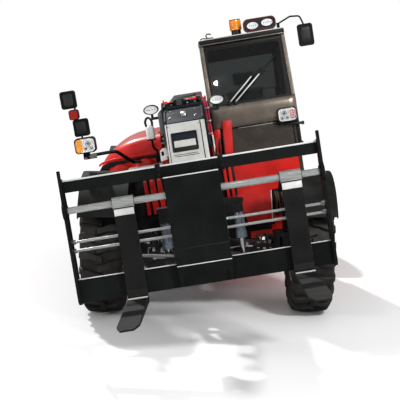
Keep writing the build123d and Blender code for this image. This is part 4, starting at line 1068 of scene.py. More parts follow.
def rounded(x0: float, x1: float, z0: float, z1: float, radius: float, steps: int = 4) -> list[Point]:
    """Outline of a rectangle with rounded corners."""
    outline = []
    for x, z, start in ((x1 - radius, z1 - radius, 0), (x0 + radius, z1 - radius, 90), (x0 + radius, z0 + radius, 180),
                        (x1 - radius, z0 + radius, 270)):
        for step in range(steps + 1):
            angle = math.radians(start + 90 * step / steps)
            outline.append((x + radius * math.cos(angle), z + radius * math.sin(angle)))
    return outline


def oval(x: float, z: float, half_width: float, half_height: float, steps: int = 36) -> list[Point]:
    """Outline of an ellipse."""
    angles = [2 * math.pi * step / steps for step in range(steps)]
    return [(x + half_width * math.cos(a), z + half_height * math.sin(a)) for a in angles]


def scaled(outline: Sequence[Point], share: float, centre: Point | None = None) -> list[Point]:
    """An outline drawn in or out about its middle."""
    if centre is None:
        centre = tuple(sum(point[i] for point in outline) / len(outline) for i in (0, 1))
    return [tuple(centre[i] + (point[i] - centre[i]) * share for i in (0, 1)) for point in outline]


@dataclass
class BoomHead:
    """Silver face with its window, slate cover, bracket, hoses and fittings at the boom's front."""

    shop: Shop
    face_half: float = 0.172
    face_length: float = 0.556
    window: tuple[float, float, float, float] = (-0.13, 0.092, -0.27, -0.094)

    def build(self) -> None:
        """Build every piece."""
        self._face()
        self._window()
        self._cover()
        self._collar_trim()
        self._hoses()
        self._side_fittings()

    def _face(self) -> None:
        """Silver sheet over the head's sloping front, with its dark seams and bright side strips."""
        x0, x1, z0, z1 = self.window
        form = self.shop.face()
        form.collar(rounded(-self.face_half, self.face_half, -self.face_length, -0.004, 0.006),
                    rounded(x0 + 0.006, x1 - 0.006, z0 + 0.006, z1 - 0.006, 0.004), Axis.Y, -0.004, -0.0004)
        form.made("head_face_sheet", "silver_enamel", "boom_inner", "paint_silver")
        lines = self.shop.face()
        for x in (-0.158, 0.134):
            lines.block((x - 0.005, -0.0052, -self.face_length + 0.004), (x + 0.005, -0.003, -0.006), 0.0008)
        for z, left, right in ((-0.296, -0.128, 0.08), (-0.311, -0.12, 0.088)):
            lines.block((left, -0.005, z - 0.0028), (right, -0.003, z + 0.0028), 0.0006)
        lines.made("head_face_seams", "seal_rubber", "boom_inner", "paint_dark")
        strips = self.shop.face()
        for x in (-0.1655, 0.1535):
            strips.block((x - 0.0065 - (x > 0) * 0.01, -0.0085, -self.face_length + 0.006),
                         (x + 0.0065 + (x > 0) * 0.01,
                         -0.003, -0.008), 0.002)
        strips.made("head_side_strips", "silver_enamel", "boom_inner", "paint_silver")
        bolts = self.shop.face()
        for x, z in ((-0.145, -0.03), (0.12, -0.03), (-0.145, -0.53), (0.12, -0.53), (-0.145, -0.4), (0.12, -0.4)):
            bolts.bolt((x, -0.004, z), (0, -1, 0), 0.006)
        bolts.made("head_face_bolts", "zinc_bolts", "boom_inner", "steel")

    def _window(self) -> None:
        """Black frame and the bright bar across the head's window, with a black sheet and a dark slate panel filling
        the opening that are painted shade.
        """
        x0, x1, z0, z1 = self.window
        frame = self.shop.face()
        frame.collar(rounded(x0, x1, z0, z1, 0.01), rounded(x0 + 0.011, x1 - 0.011, z0 + 0.01, z1 - 0.01, 0.006),
                     Axis.Y, -0.011, -0.003)
        # Black sheet across the opening: painted shade.
        frame.block((x0 + 0.008, -0.0034, z0 + 0.008), (x1 - 0.008, 0.001, z1 - 0.008), 0.001)
        frame.made("head_window_frame", "seal_rubber", "boom_inner", "paint_dark")
        # Dark slate panel in the window's upper part: painted shade.
        pane = self.shop.face()
        pane.block((x0 + 0.012, -0.006, -0.166), (x1 - 0.012, -0.0028, z1 - 0.011), 0.001)
        pane.made("head_window_pane", "slate_enamel", "boom_inner", "paint_dark")
        bar = self.shop.face()
        bar.prism([(-0.003, -0.229), (-0.007, -0.2285), (-0.0095, -0.198), (-0.007, -0.168), (-0.003, -0.167)],
                  Axis.X, x0 + 0.019, x1 - 0.019, 0.0008)
        bar.made("head_window_bar", "silver_enamel", "boom_inner", "paint_silver")

    def _cover(self) -> None:
        """Slate cover on the head's sloping top with rolled edges and small lugs."""
        form = self.shop.level()
        form.prism([(-1.1225, 1.9475), (-1.1, 1.9555), (-0.882, 2.027), (-0.5, 2.027), (-0.5, 2.0215),
                    (-0.88, 2.0215), (-1.099, 1.9508), (-1.119, 1.9442)], Axis.X, -0.172, 0.172, 0.0012)
        for x in (-0.166, 0.16):
            form.prism([(-1.112, 1.953), (-0.886, 2.028), (-0.52, 2.028), (-0.52, 2.04), (-0.89, 2.04),
                        (-1.106, 1.968)],
                       Axis.X, x - 0.005, x + 0.011, 0.002)
        form.made("head_top_cover", "slate_enamel", "boom_inner", "paint_dark")
        lugs = self.shop.level()
        for x in (-0.12, 0.105):
            lugs.bolt((x, -1.02, 1.983), (0, -0.33, 0.94), 0.01)
            lugs.bolt((x, -0.8, 2.027), (0, 0, 1), 0.01)
        lugs.prism([(-1.0, 1.985), (-0.93, 2.01), (-0.95, 2.028), (-0.99, 2.015)], Axis.X, -0.02, 0.02, 0.003)
        lugs.made("head_cover_bolts", "zinc_bolts", "boom_inner", "steel")

    def _collar_trim(self) -> None:
        """Bracket with its slots, face plates and the red strips along the collar's top."""
        bracket = self.shop.level()
        bracket.prism([(-0.088, 2.046), (0.006, 2.046), (0.012, 2.06), (0.012, 2.104), (0.0, 2.112), (-0.082, 2.112),
                       (-0.094, 2.102), (-0.094, 2.06)], Axis.Y, -0.15, -0.098, 0.004)
        bracket.block((-0.14, -0.118, 2.08), (0.06, -0.098, 2.092), 0.002)
        bracket.made("collar_bracket", "black_enamel", "boom_outer", "paint_dark")
        slots = self.shop.level()
        for z in (2.062, 2.074, 2.086, 2.098):
            slots.block((-0.066, -0.1525, z - 0.0025), (-0.016, -0.149, z + 0.0025), 0.0008)
        slots.made("collar_bracket_slots", "grey_trim", "boom_outer", "paint_dark")
        # The plates' blue-grey slate is a painted reflection of the teal glints on the collar's face.
        plates = self.shop.level()
        for x0, x1 in ((-0.206, -0.1), (0.018, 0.206)):
            plates.block((x0, -0.1075, 2.046), (x1, -0.1, 2.0835), 0.002)
        plates.made("collar_face_plates", "slate_enamel", "boom_outer", "paint_dark")
        strips = self.shop.level()
        for x0, x1, z in ((-0.216, -0.15, 2.106), (-0.15, -0.102, 2.099), (0.03, 0.098, 2.103), (0.098, 0.165, 2.11)):
            strips.prism([(-0.108, 2.085), (-0.085, 2.085), (-0.085, z - 0.003), (-0.096, z), (-0.108, z - 0.006)],
                         Axis.X, x0, x1, 0.002)
        for x in (-0.19, 0.135):
            strips.prism([(x - 0.006, 2.1), (x + 0.01, 2.1), (x + 0.004, 2.128), (x - 0.002, 2.128)], Axis.Y,
                         -0.104, -0.09, 0.001)
        strips.made("collar_red_strips", "red_enamel", "boom_outer", "paint_red")
        bolts = self.shop.level()
        for x in (-0.19, -0.115, 0.035, 0.11, 0.19):
            bolts.bolt((x, -0.1075 if abs(x) > 0.03 else -0.1, 2.065), (0, -1, 0), 0.008)
        bolts.made("collar_bolts", "zinc_bolts", "boom_outer", "steel")

    def _hoses(self) -> None:
        """Hoses that drop from the collar beside the boom, with their clamps."""
        red = self.shop.level()
        for shift, deep in ((0.0, 0.0), (0.02, 0.014)):
            red.hose([(0.16 + shift, -0.06, 2.094), (0.172 + shift, -0.118, 2.1 - deep), (0.196 + shift, -0.134, 2.04),
                      (0.202 + shift, -0.13, 1.93), (0.2 + shift, -0.126, 1.82), (0.206 + shift, -0.116, 1.745),
                      (0.214 + shift, -0.085, 1.7)], 0.0085)
        red.made("collar_red_hoses", "red_hose", "boom_outer", "plastic")
        black = self.shop.level()
        for shift, low in ((0.0, 1.64), (-0.016, 1.61)):
            black.hose([(0.15 + shift * 2, -0.06, 2.096), (0.158 + shift, -0.124, 2.104), (0.184 + shift, -0.14, 2.035),
                        (0.1895 + shift * 0.5, -0.136, 1.9), (0.189 + shift * 0.5, -0.134, 1.76),
                        (0.196 + shift * 0.2, -0.13, low + 0.03), (0.202, -0.105, low)], 0.008)
        black.hose([(-0.198, -0.07, 2.088), (-0.206, -0.124, 2.076), (-0.212, -0.132, 1.98), (-0.208, -0.13, 1.85),
                    (-0.212, -0.128, 1.74), (-0.214, -0.108, 1.69)], 0.0095)
        black.made("collar_black_hoses", "hose_rubber", "boom_outer", "plastic")
        clamps = self.shop.level()
        for z in (1.985, 1.86, 1.74):
            clamps.block((0.176, -0.15, z - 0.008), (0.234, -0.1005, z + 0.008), 0.003)
            clamps.bolt((0.213, -0.15, z), (0, -1, 0), 0.005)
        clamps.made("hose_clamps", "zinc_bolts", "boom_outer", "steel")

    def _side_fittings(self) -> None:
        """Grey guard, white plates and valve fittings on the collar's cheeks."""
        guard = self.shop.level()
        guard.prism([(-0.2205, 1.8), (-0.2205, 2.036), (-0.236, 2.03), (-0.262, 2.0), (-0.262, 1.82), (-0.25, 1.8)],
                    Axis.Y, -0.112, -0.02, 0.004)
        guard.block((-0.235, -0.12, 1.7), (-0.2205, -0.03, 1.79), 0.003)
        guard.made("collar_side_guard", "grey_trim", "boom_outer", "paint_dark")
        white = self.shop.level()
        white.prism([(-0.302, 1.545), (-0.238, 1.56), (-0.23, 1.668), (-0.262, 1.672), (-0.296, 1.65)], Axis.Y,
                    -0.122, -0.112, 0.002)
        white.block((-0.24, -0.116, 1.585), (-0.2195, -0.06, 1.655), 0.002)
        white.prism([(0.2205, 1.6), (0.236, 1.59), (0.2345, 1.69), (0.23, 1.786), (0.2205, 1.79)], Axis.Y,
                    -0.116, -0.096, 0.003)
        white.made("collar_white_plates", "white_plastic", "boom_outer", "plastic")
        dark = self.shop.level()
        dark.block((-0.286, -0.1245, 1.6), (-0.262, -0.1215, 1.64), 0.001)
        dark.block((-0.262, -0.1, 1.69), (-0.2205, -0.04, 1.79), 0.004)
        dark.rod((-0.241, -0.135, 1.76), (-0.241, -0.095, 1.76), 0.013)
        dark.rod((-0.241, -0.135, 1.72), (-0.241, -0.095, 1.72), 0.013)
        dark.made("collar_valve_block", "seal_rubber", "boom_outer", "paint_dark")
        fittings = self.shop.level()
        for z in (1.72, 1.76):
            fittings.bolt((-0.241, -0.135, z), (0, -1, 0), 0.01)
        fittings.rod((-0.252, -0.07, 1.79), (-0.252, -0.07, 1.812), 0.007)
        fittings.made("collar_valve_fittings", "zinc_bolts", "boom_outer", "steel")


@dataclass
class LampSet:
    """Lenses, reflectors and rims of every lamp, and the glass of the mirrors."""

    shop: Shop

    def build(self) -> None:
        """Build every lamp and mirror."""
        self._headlamp("right_headlamp", (-1.0, -0.045, 1.812), "amber_lens", -1)
        self._headlamp("left_headlamp", (1.03, 0.735, 1.752), "red_lens", 1)
        self._marker()
        self._boom_lamps()
        self._roof_lamps()
        self._tail_lamps()
        self._mirrors()

    def _lens(self, form: Form, outline: Sequence[Point], front: float, rise: float) -> None:
        """A domed lens standing forward of its rim."""
        rings = []
        for share, out in ((1.0, 0.0), (0.985, 0.45), (0.9, 0.78), (0.66, 0.95), (0.3, 1.0)):
            rings.append([(x, front - rise * out, z) for x, z in scaled(outline, share)])
        back = [(x, front + 0.006, z) for x, z in scaled(outline, 0.98)]
        form.loft([back, *rings])

    def _headlamp(self, name: str, centre: Point, tint: str, side: int) -> None:
        """A wide road lamp: bowl, reflectors, bulbs, clear lens and its tinted third."""
        x, y, z = centre
        front = y - 0.045
        rim_outer = rounded(x - 0.1015, x + 0.1015, z - 0.074, z + 0.074, 0.045, 6)
        rim_inner = rounded(x - 0.093, x + 0.093, z - 0.0655, z + 0.0655, 0.038, 6)
        rim = self.shop.level()
        rim.collar(rim_outer, rim_inner, Axis.Y, front - 0.01, front + 0.004)
        rim.made(f"{name}_rim", "seal_rubber", "chassis", "lamp")
        bowl = self.shop.level()
        split = x + side * 0.026
        outline = rounded(x - 0.0925, x + 0.0925, z - 0.065, z + 0.065, 0.036, 5)
        bowl.relief(outline, front, ((1.0, 0.0), (1.0, 0.006), (0.93, 0.006), (0.72, 0.003), (0.4, 0.0014)))
        bowl.made(f"{name}_reflectors", "lamp_white", "chassis", "lamp")
        bulbs = self.shop.level()
        main = x - side * 0.03
        for px, pz, radius in ((main, z + 0.016, 0.012), (main - side * 0.026, z - 0.034, 0.007),
                               (main + side * 0.03, z - 0.03, 0.007)):
            bulbs.turned([(0, 0.0), (0, radius), (0.004, radius), (0.007, radius * 0.6), (0.008, 0.0)],
                         (px, front - 0.003, pz),
                         (0, -1, 0), 24)
            cup = oval(px, pz, radius * 2.1, radius * 2.1, 28)
            bulbs.collar(cup, scaled(cup, 0.88), Axis.Y, front - 0.0075, front - 0.005)
        for step in range(4):
            px = x - side * (0.07 - step * 0.02)
            bulbs.block((px - 0.001, front - 0.0075, z - 0.046), (px + 0.001, front - 0.0055, z - 0.014), 0.0004)
        bulbs.made(f"{name}_bulbs", "grey_trim", "chassis", "lamp")
        inner, outer = sorted((split, x + side * 0.091))
        if tint == "red_lens":
            lines = self.shop.level()
            middle = (inner + outer) / 2
            for share in (0.86, 0.44):
                ring = rounded(middle - 0.03 * share, middle + 0.03 * share, z - 0.05 * share, z + 0.05 * share, 0.012)
                lines.collar(ring, scaled(ring, 1.0 - 0.16 / share), Axis.Y, front - 0.0085, front - 0.0065)
            lines.made(f"{name}_red_lines", tint, "chassis", "lamp")
            tint = "clear_lens"
        tinted = self.shop.level()
        self._lens(tinted, rounded(inner, outer, z - 0.0645, z + 0.0645, 0.024, 6), front - 0.006, 0.01)
        tinted.made(f"{name}_tinted_lens", tint, "chassis", "lamp")
        inner, outer = sorted((split, x - side * 0.091))
        clear = self.shop.level()
        self._lens(clear, rounded(inner, outer - 0.001, z - 0.0645, z + 0.0645, 0.03, 6), front - 0.006, 0.012)
        clear.made(f"{name}_clear_lens", "clear_lens", "chassis", "lamp")

    def _marker(self) -> None:
        """Red marker lamp on the mirror post."""
        x, y, z = -1.058, -0.048, 2.118
        outline = rounded(x - 0.04, x + 0.04, z - 0.042, z + 0.042, 0.016)
        rim = self.shop.level()
        rim.collar(rounded(x - 0.047, x + 0.047, z - 0.048, z + 0.048, 0.02), scaled(outline, 0.96), Axis.Y, y - 0.036,
                   y - 0.026)
        rim.made("marker_rim", "seal_rubber", "chassis", "lamp")
        lens = self.shop.level()
        self._lens(lens, outline, y - 0.031, 0.018)
        lens.made("marker_lens", "red_lens", "chassis", "lamp")

    def _work_lamp(self, name: str, centre: Point, half: Point, front: float, body: str) -> None:
        """An oval work lamp: rim, reflector, four small lights and a clear lens."""
        x, z = centre
        outline = oval(x, z, half[0] * 0.86, half[1] * 0.84)
        rim = self.shop.level()
        rim.collar(oval(x, z, half[0], half[1]), outline, Axis.Y, front - 0.01, front + 0.004)
        rim.made(f"{name}_rim", "seal_rubber", body, "lamp")
        bowl = self.shop.level()
        bowl.relief(outline, front, ((1.0, -0.002), (1.0, 0.005), (0.9, 0.005), (0.6, 0.002), (0.25, 0.001)))
        bowl.made(f"{name}_reflector", "lamp_white", body, "lamp")
        chips = self.shop.level()
        for step in range(4):
            px = x + (step - 1.5) * half[0] * 0.32
            chips.block((px - half[0] * 0.05, front - 0.006, z - half[1] * 0.1), (px + half[0] * 0.05, front - 0.003,
                        z + half[1] * 0.1), 0.001)
        chips.made(f"{name}_chips", "grey_trim", body, "lamp")
        lens = self.shop.level()
        self._lens(lens, outline, front - 0.005, 0.007)
        lens.made(f"{name}_lens", "clear_lens", body, "lamp")

    def _boom_lamps(self) -> None:
        """Work lamps on both sides of the boom's collar."""
        for name, x in (("boom_lamp_right", -0.318), ("boom_lamp_left", 0.318)):
            front = self._front_of("boom_lamps", x, 2.05, 0.08)
            self._work_lamp(name, (x, 2.05), (0.073, 0.046), front, "boom_outer")

    def _front_of(self, node: str, x: float, z: float, reach: float) -> float:
        """The level-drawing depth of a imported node's foremost face near a place.

        Args:
            node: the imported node.
            x: the place across.
            z: the place's height.
            reach: how far from the place a point may be.

        Returns:
            Its lowest y there.
        """
        inverse = self.shop.site.level.inverted()
        data = self.shop.frame["nodes"][node].data
        places = [inverse @ vert.co for vert in data.vertices]
        return min(at.y for at in places if abs(at.x - x) < reach and abs(at.z - z) < reach)

    def _roof_lamps(self) -> None:
        """Twin oval lamps in the roof housing and the amber beacon."""
        front = self._front_of("roof_lights", 0.905, 2.722, 0.18)
        for name, x, z in (("roof_lamp_right", 0.828, 2.716), ("roof_lamp_left", 0.982, 2.728)):
            self._work_lamp(name, (x, z), (0.07, 0.044), front, "chassis")
        hood = self.shop.level()
        hood.collar(rounded(0.735, 1.075, 2.66, 2.79, 0.048, 6), rounded(0.742, 1.068, 2.667, 2.783, 0.042, 6), Axis.Y,
                    front - 0.006, front + 0.03)
        hood.made("roof_lamp_rim", "dark_red", "chassis", "lamp")
        beacon = self.shop.level()
        beacon.turned([(0.0, 0.0), (0.0, 0.064), (0.012, 0.066), (0.022, 0.0622), (0.03, 0.0655), (0.044, 0.0618),
                       (0.052, 0.0652), (0.068, 0.0615), (0.076, 0.0645), (0.092, 0.0625), (0.104, 0.06),
                       (0.112, 0.045),
                       (0.1155, 0.0)], (0.655, 1.14, 2.703), (0, 0, 1), 48)
        beacon.made("beacon_dome", "amber_glow", "chassis", "lamp")

    def _tail_lamps(self) -> None:
        """Red and amber lenses on the tail lamps."""
        for name, x, side in (("tail_lamp_left", 0.8, 1), ("tail_lamp_right", -0.8, -1)):
            for part, tint, low, high in (("brake", "red_lens", -0.03, 0.084), ("turn", "amber_lens", -0.084, -0.036)):
                ends = sorted((x - side * low, x - side * high))
                outline = rounded(ends[0], ends[1], 1.04 - 0.042, 1.04 + 0.042, 0.01)
                rings = [[(px, 4.2735 + out, pz) for px, pz in scaled(outline, share)]
                         for share, out in ((1.0, -0.004), (1.0, 0.002), (0.96, 0.006), (0.5, 0.008))]
                form = self.shop.level()
                form.loft(rings)
                form.made(f"{name}_{part}_lens", tint, "chassis", "lamp")

    def _mirrors(self) -> None:
        """Mirror glass facing the driver, and rims and ribs on the mirrors' shells."""
        glass, rims = self.shop.level(), self.shop.level()
        heads = (((-1.012, -0.025, 1.985), 0.15, 0.046, 0.168), ((-1.092, -0.025, 2.265), 0.15, 0.046, 0.172),
                 ((1.366, 0.97, 2.535), 0.16, 0.05, 0.232))
        for (x, y, z), wide, deep, high in heads:
            back = y + deep / 2
            outer = rounded(x - wide / 2 + 0.004, x + wide / 2 - 0.004, z - high / 2 + 0.004, z + high / 2 - 0.004,
                            0.022)
            rims.collar(outer, scaled(outer, 0.9), Axis.Y, back - 0.002, back + 0.006)
            glass.loft([[(px, back + out, pz) for px, pz in scaled(outer, share)]
                        for share, out in ((0.9, -0.001), (0.9, 0.003), (0.5, 0.0036))])
            front = y - deep / 2
            ridge = rounded(x - wide * 0.3, x + wide * 0.3, z - high * 0.34, z + high * 0.34, 0.018)
            rims.relief(ridge, front, ((1.0, -0.002), (1.0, 0.0015), (0.88, 0.004), (0.4, 0.0048)))
        glass.made("mirror_glasses", "mirror_silver", "chassis", "chrome")
        rims.made("mirror_rims", "black_plastic", "chassis", "plastic")


def rounded_corners(points: Sequence[Point], reach: float, steps: int = 5) -> list[Point]:
    """An open outline with its corners rounded off."""
    line = [tuple(points[0])]
    for before, corner, after in zip(points, points[1:], points[2:]):
        before, corner, after = Vector(before), Vector(corner), Vector(after)
        near = corner + (before - corner).normalized() * min(reach, (before - corner).length * 0.48)
        far = corner + (after - corner).normalized() * min(reach, (after - corner).length * 0.48)
        for step in range(steps + 1):
            t = step / steps
            line.append(tuple(near.lerp(corner, t).lerp(corner.lerp(far, t), t)))
    return line + [tuple(points[-1])]


@dataclass
class Hood:
    """Rounded engine hood, its raised top, front lip, lobes below it, louvres and catches."""

    shop: Shop
    skin: float = 0.006
    nose: float = 0.14
    front: float = 0.78
    rear: float = 2.28
    seam: float = 1.55
    hinge: tuple[float, float] = (-0.3, 1.78)
    section: tuple[Point, ...] = ((-0.316, 1.712), (-0.316, 1.75), (-0.66, 1.73), (-0.88, 1.635), (-1.04, 1.44),
                                  (-1.13, 1.2), (-1.13, 1.0))

    def build(self) -> None:
        """Build the hood and what is on and below it."""
        self._shell()
        self._lip()
        self._lobes()
        self._louvres()
        self._catches()

    def _outline(self) -> list[tuple[Vector, Vector, float]]:
        """Points of the section with their inward directions and how much the nose draws them in."""
        corners = [self.section[0]] + rounded_corners(self.section[1:], 0.13, 6)
        line = []
        for before, after in zip(corners, corners[1:]):
            count = max(1, round((Vector(after) - Vector(before)).length / 0.035))
            line += [Vector(before).lerp(Vector(after), step / count) for step in range(count)]
        line.append(Vector(corners[-1]))
        points = []
        for index, at in enumerate(line):
            ahead = line[min(index + 1, len(line) - 1)] - line[max(index - 1, 0)]
            inward = Vector((-ahead.y, ahead.x)).normalized()
            if inward.dot(Vector((-0.6, 1.2)) - at) < 0:
                inward = -inward
            draw = min(1.0, max(0.0, (at.y - 1.2) / 0.14))
            if at.x > -0.3165:
                inward, draw = Vector((0.0, -1.0)), 1.0 if at.y > 1.74 else 0.0
            points.append((at, inward, draw))
        return points

    def _shell(self) -> None:
        """The hood's skin: a swept section drawn in at its nose, with a shallow raised top."""
        outline = self._outline()
        form = self.shop.level()
        turn = [self.nose * (1 - math.cos(math.radians(a))) for a in (0, 8, 16, 24, 32, 41, 50, 60, 70, 80, 90)]
        depths = [self.front + d for d in turn] + [self.front + self.nose + 0.08, 1.1, 1.3, 1.6, 1.9, 2.15, 2.24,
                                                   self.rear]
        rings = []
        for y in depths:
            near = max(0.0, self.nose - (y - self.front))
            drawn = self.nose - math.sqrt(max(0.0, self.nose ** 2 - near ** 2))
            swell = 0.01 * min(1.0, max(0.0, (y - 0.86) / 0.14)) * min(1.0, max(0.0, (2.2 - y) / 0.1))
            ring = []
            for at, inward, draw in outline:
                across = min(1.0, max(0.0, (-0.4 - at.x) / 0.07)) * min(1.0, max(0.0, (at.y - 1.5) / 0.07))
                place = at + inward * (drawn * draw - swell * across * across * (3 - 2 * across))
                ring.append(form.mesh.verts.new((place.x, y, place.y)))
            rings.append(ring)
        for first, second in zip(rings, rings[1:]):
            for index in range(len(first) - 1):
                form.mesh.faces.new((first[index], first[index + 1], second[index + 1], second[index]))
        for ring in (rings[0], rings[-1]):
            above = [vert for vert in ring if vert.co.z >= self.seam]
            y = ring[0].co.y
            low = [form.mesh.verts.new((above[-1].co.x, y, self.seam)), form.mesh.verts.new((above[0].co.x, y,
                                                                                             self.seam))]
            form.mesh.faces.new([*above, *low])
        data = form.mesh_data("engine_hood_skin")
        finish = self.shop.finishes["red_enamel"]
        host = bpy.data.objects.new("engine_hood_skin", data)
        bpy.context.scene.collection.objects.link(host)
        wall = host.modifiers.new("wall", "SOLIDIFY")
        wall.thickness = self.skin
        wall.offset = -1.0
        graph = bpy.context.evaluated_depsgraph_get()
        graph.update()
        shell = bpy.data.meshes.new_from_object(host.evaluated_get(graph))
        bpy.data.objects.remove(host)
        shell.name = "engine_hood_shell"
        settle(shell, "engine_hood_shell", finish, "engine_hood", ["engine_hood"], 40.0)
        hinges = self.shop.level()
        x, z = self.hinge
        for y in (1.04, 2.02):
            hinges.rod((x, y - 0.04, z), (x, y + 0.04, z), 0.015)
            hinges.prism([(x - 0.04, 1.744), (x - 0.004, 1.76), (x - 0.002, 1.776), (x - 0.014, 1.778),
                          (x - 0.04, 1.76)],
                         Axis.Y, y - 0.038, y + 0.038, 0.002)
        hinges.made("hood_hinge_sleeves", "red_enamel", "engine_hood", "paint_red")

    def _lip(self) -> None:
        """Rolled edge along the hood's front seam, and a black band below it that is painted shade in the recess."""
        lip = self.shop.level()
        lip.hose([(-1.0, 0.8, 1.52), (-0.955, 0.786, 1.545), (-0.855, 0.777, 1.562), (-0.72, 0.775, 1.566),
                  (-0.56, 0.775, 1.567), (-0.33, 0.777, 1.567)], 0.011)
        lip.made("hood_front_lip", "red_enamel", "engine_hood", "paint_red")
        # Black band under the lip: painted shade in the recess.
        gap = self.shop.level()
        gap.prism([(-1.0, 1.47), (-0.965, 1.515), (-0.9, 1.542), (-0.29, 1.544), (-0.29, 1.512), (-0.6, 1.518),
                   (-0.72, 1.508), (-0.88, 1.488), (-0.975, 1.448)], Axis.Y, 0.774, 0.7798, 0.001)
        gap.made("hood_seam_gap", "seal_rubber", "chassis", "paint_dark")

    def _lobes(self) -> None:
        """Two pressed red lobes on the bay's front wall and a white ledge below them whose colour is a painted
        highlight.
        """
        form = self.shop.level()
        lobes = ([(-0.65, 1.34), (-0.652, 1.42), (-0.636, 1.478), (-0.59, 1.516), (-0.525, 1.53), (-0.45, 1.512),
                  (-0.412, 1.468), (-0.402, 1.41), (-0.402, 1.34)],
                 [(-0.985, 1.3), (-0.972, 1.36), (-0.935, 1.43), (-0.87, 1.478), (-0.8, 1.504), (-0.73, 1.5),
                  (-0.68, 1.47), (-0.662, 1.42), (-0.66, 1.3)])
        for outline in lobes:
            smooth = [(v.x, v.y) for v in smooth_line([Vector((x, z, 0)) for x, z in outline], 4)]
            centre = (sum(p[0] for p in smooth) / len(smooth), 1.39)
            form.loft([[(x, y, z) for x, z in scaled(smooth, share, centre)]
                       for share, y in ((1.0, 0.7795), (1.0, 0.768), (0.975, 0.748), (0.92, 0.73), (0.8, 0.714),
                                        (0.6, 0.705), (0.3, 0.7))])
        form.made("bay_front_lobes", "red_enamel", "chassis", "paint_red")
        # White ledge: its colour is a painted highlight.
        ledge = self.shop.level()
        ledge.prism([(0.7795, 1.424), (0.67, 1.424), (0.656, 1.43), (0.656, 1.45), (0.67, 1.456), (0.7795, 1.456)],
                    Axis.X, -0.69, -0.33, 0.003)
        ledge.made("bay_front_ledge", "white_plastic", "chassis", "plastic")
        pipes = self.shop.level()
        for x in (-0.6, -0.56, -0.515, -0.47):
            pipes.hose([(x, 0.69, 1.388), (x + 0.004, 0.7, 1.34), (x + 0.02, 0.745, 1.3), (x + 0.022, 0.776, 1.29)],
                       0.008)
        pipes.made("bay_front_pipes", "hose_rubber", "chassis", "plastic")

    def _louvres(self) -> None:
        """Black grille with slats in the hood's outer side."""
        grille = self.shop.level()
        grille.block((-1.1325, 1.15, 1.015), (-1.1298, 1.95, 1.185), 0.001)
        grille.collar(rounded(1.14, 1.96, 1.005, 1.195, 0.02), rounded(1.156, 1.944, 1.021, 1.179, 0.012), Axis.X,
                      -1.1375,
                      -1.13)
        grille.made("hood_side_grille", "black_plastic", "engine_hood", "paint_dark")
        slat = Form(Matrix.Identity(4))
        slat.prism([(-0.001, -0.01), (-0.0075, 0.004), (-0.006, 0.007), (0.001, -0.004)], Axis.Y, 0.0, 0.786, 0.0005)
        place = self.shop.site.level @ Matrix.Translation((-1.1318, 1.157, 1.034))
        self.shop.pattern("hood_side_slats", slat, "black_plastic", place, "engine_hood", "paint_dark",
                          count=8, step=(0.0, 0.0, 0.0185))
        rear = self.shop.level()
        rear.collar(rounded(-0.88, -0.4, 1.1, 1.48, 0.02), rounded(-0.862, -0.418, 1.118, 1.462, 0.012), Axis.Y,
                    2.28, 2.288)
        rear.block((-0.864, 2.2802, 1.116), (-0.416, 2.2825, 1.464), 0.0005)
        rear.made("bay_rear_grille", "black_plastic", "chassis", "paint_dark")
        bar = Form(Matrix.Identity(4))
        bar.prism([(0.0, -0.01), (0.0065, 0.004), (0.005, 0.007), (0.0, -0.004)], Axis.X, 0.0, 0.442, 0.0005)
        place = self.shop.site.level @ Matrix.Translation((-0.861, 2.282, 1.134))
        self.shop.pattern("bay_rear_slats", bar, "black_plastic", place, "chassis", "paint_dark",
                          count=17, step=(0.0, 0.0, 0.0195))

    def _catches(self) -> None:
        """Rubber catches on the hood's outer edge and a pull handle."""
        form = self.shop.level()
        for y in (1.02, 2.06):
            form.block((-1.146, y - 0.022, 1.01), (-1.13, y + 0.022, 1.09), 0.005)
            form.bent([(-1.1305, y - 0.014, 1.086), (-1.15, y - 0.014, 1.076), (-1.15, y + 0.014, 1.076),
                       (-1.1305, y + 0.014, 1.086)], 0.0045)
        form.bent([(-1.13, 1.46, 1.215), (-1.156, 1.46, 1.222), (-1.156, 1.64, 1.222), (-1.13, 1.64, 1.215)], 0.009)
        form.made("hood_catches", "hose_rubber", "engine_hood", "plastic")


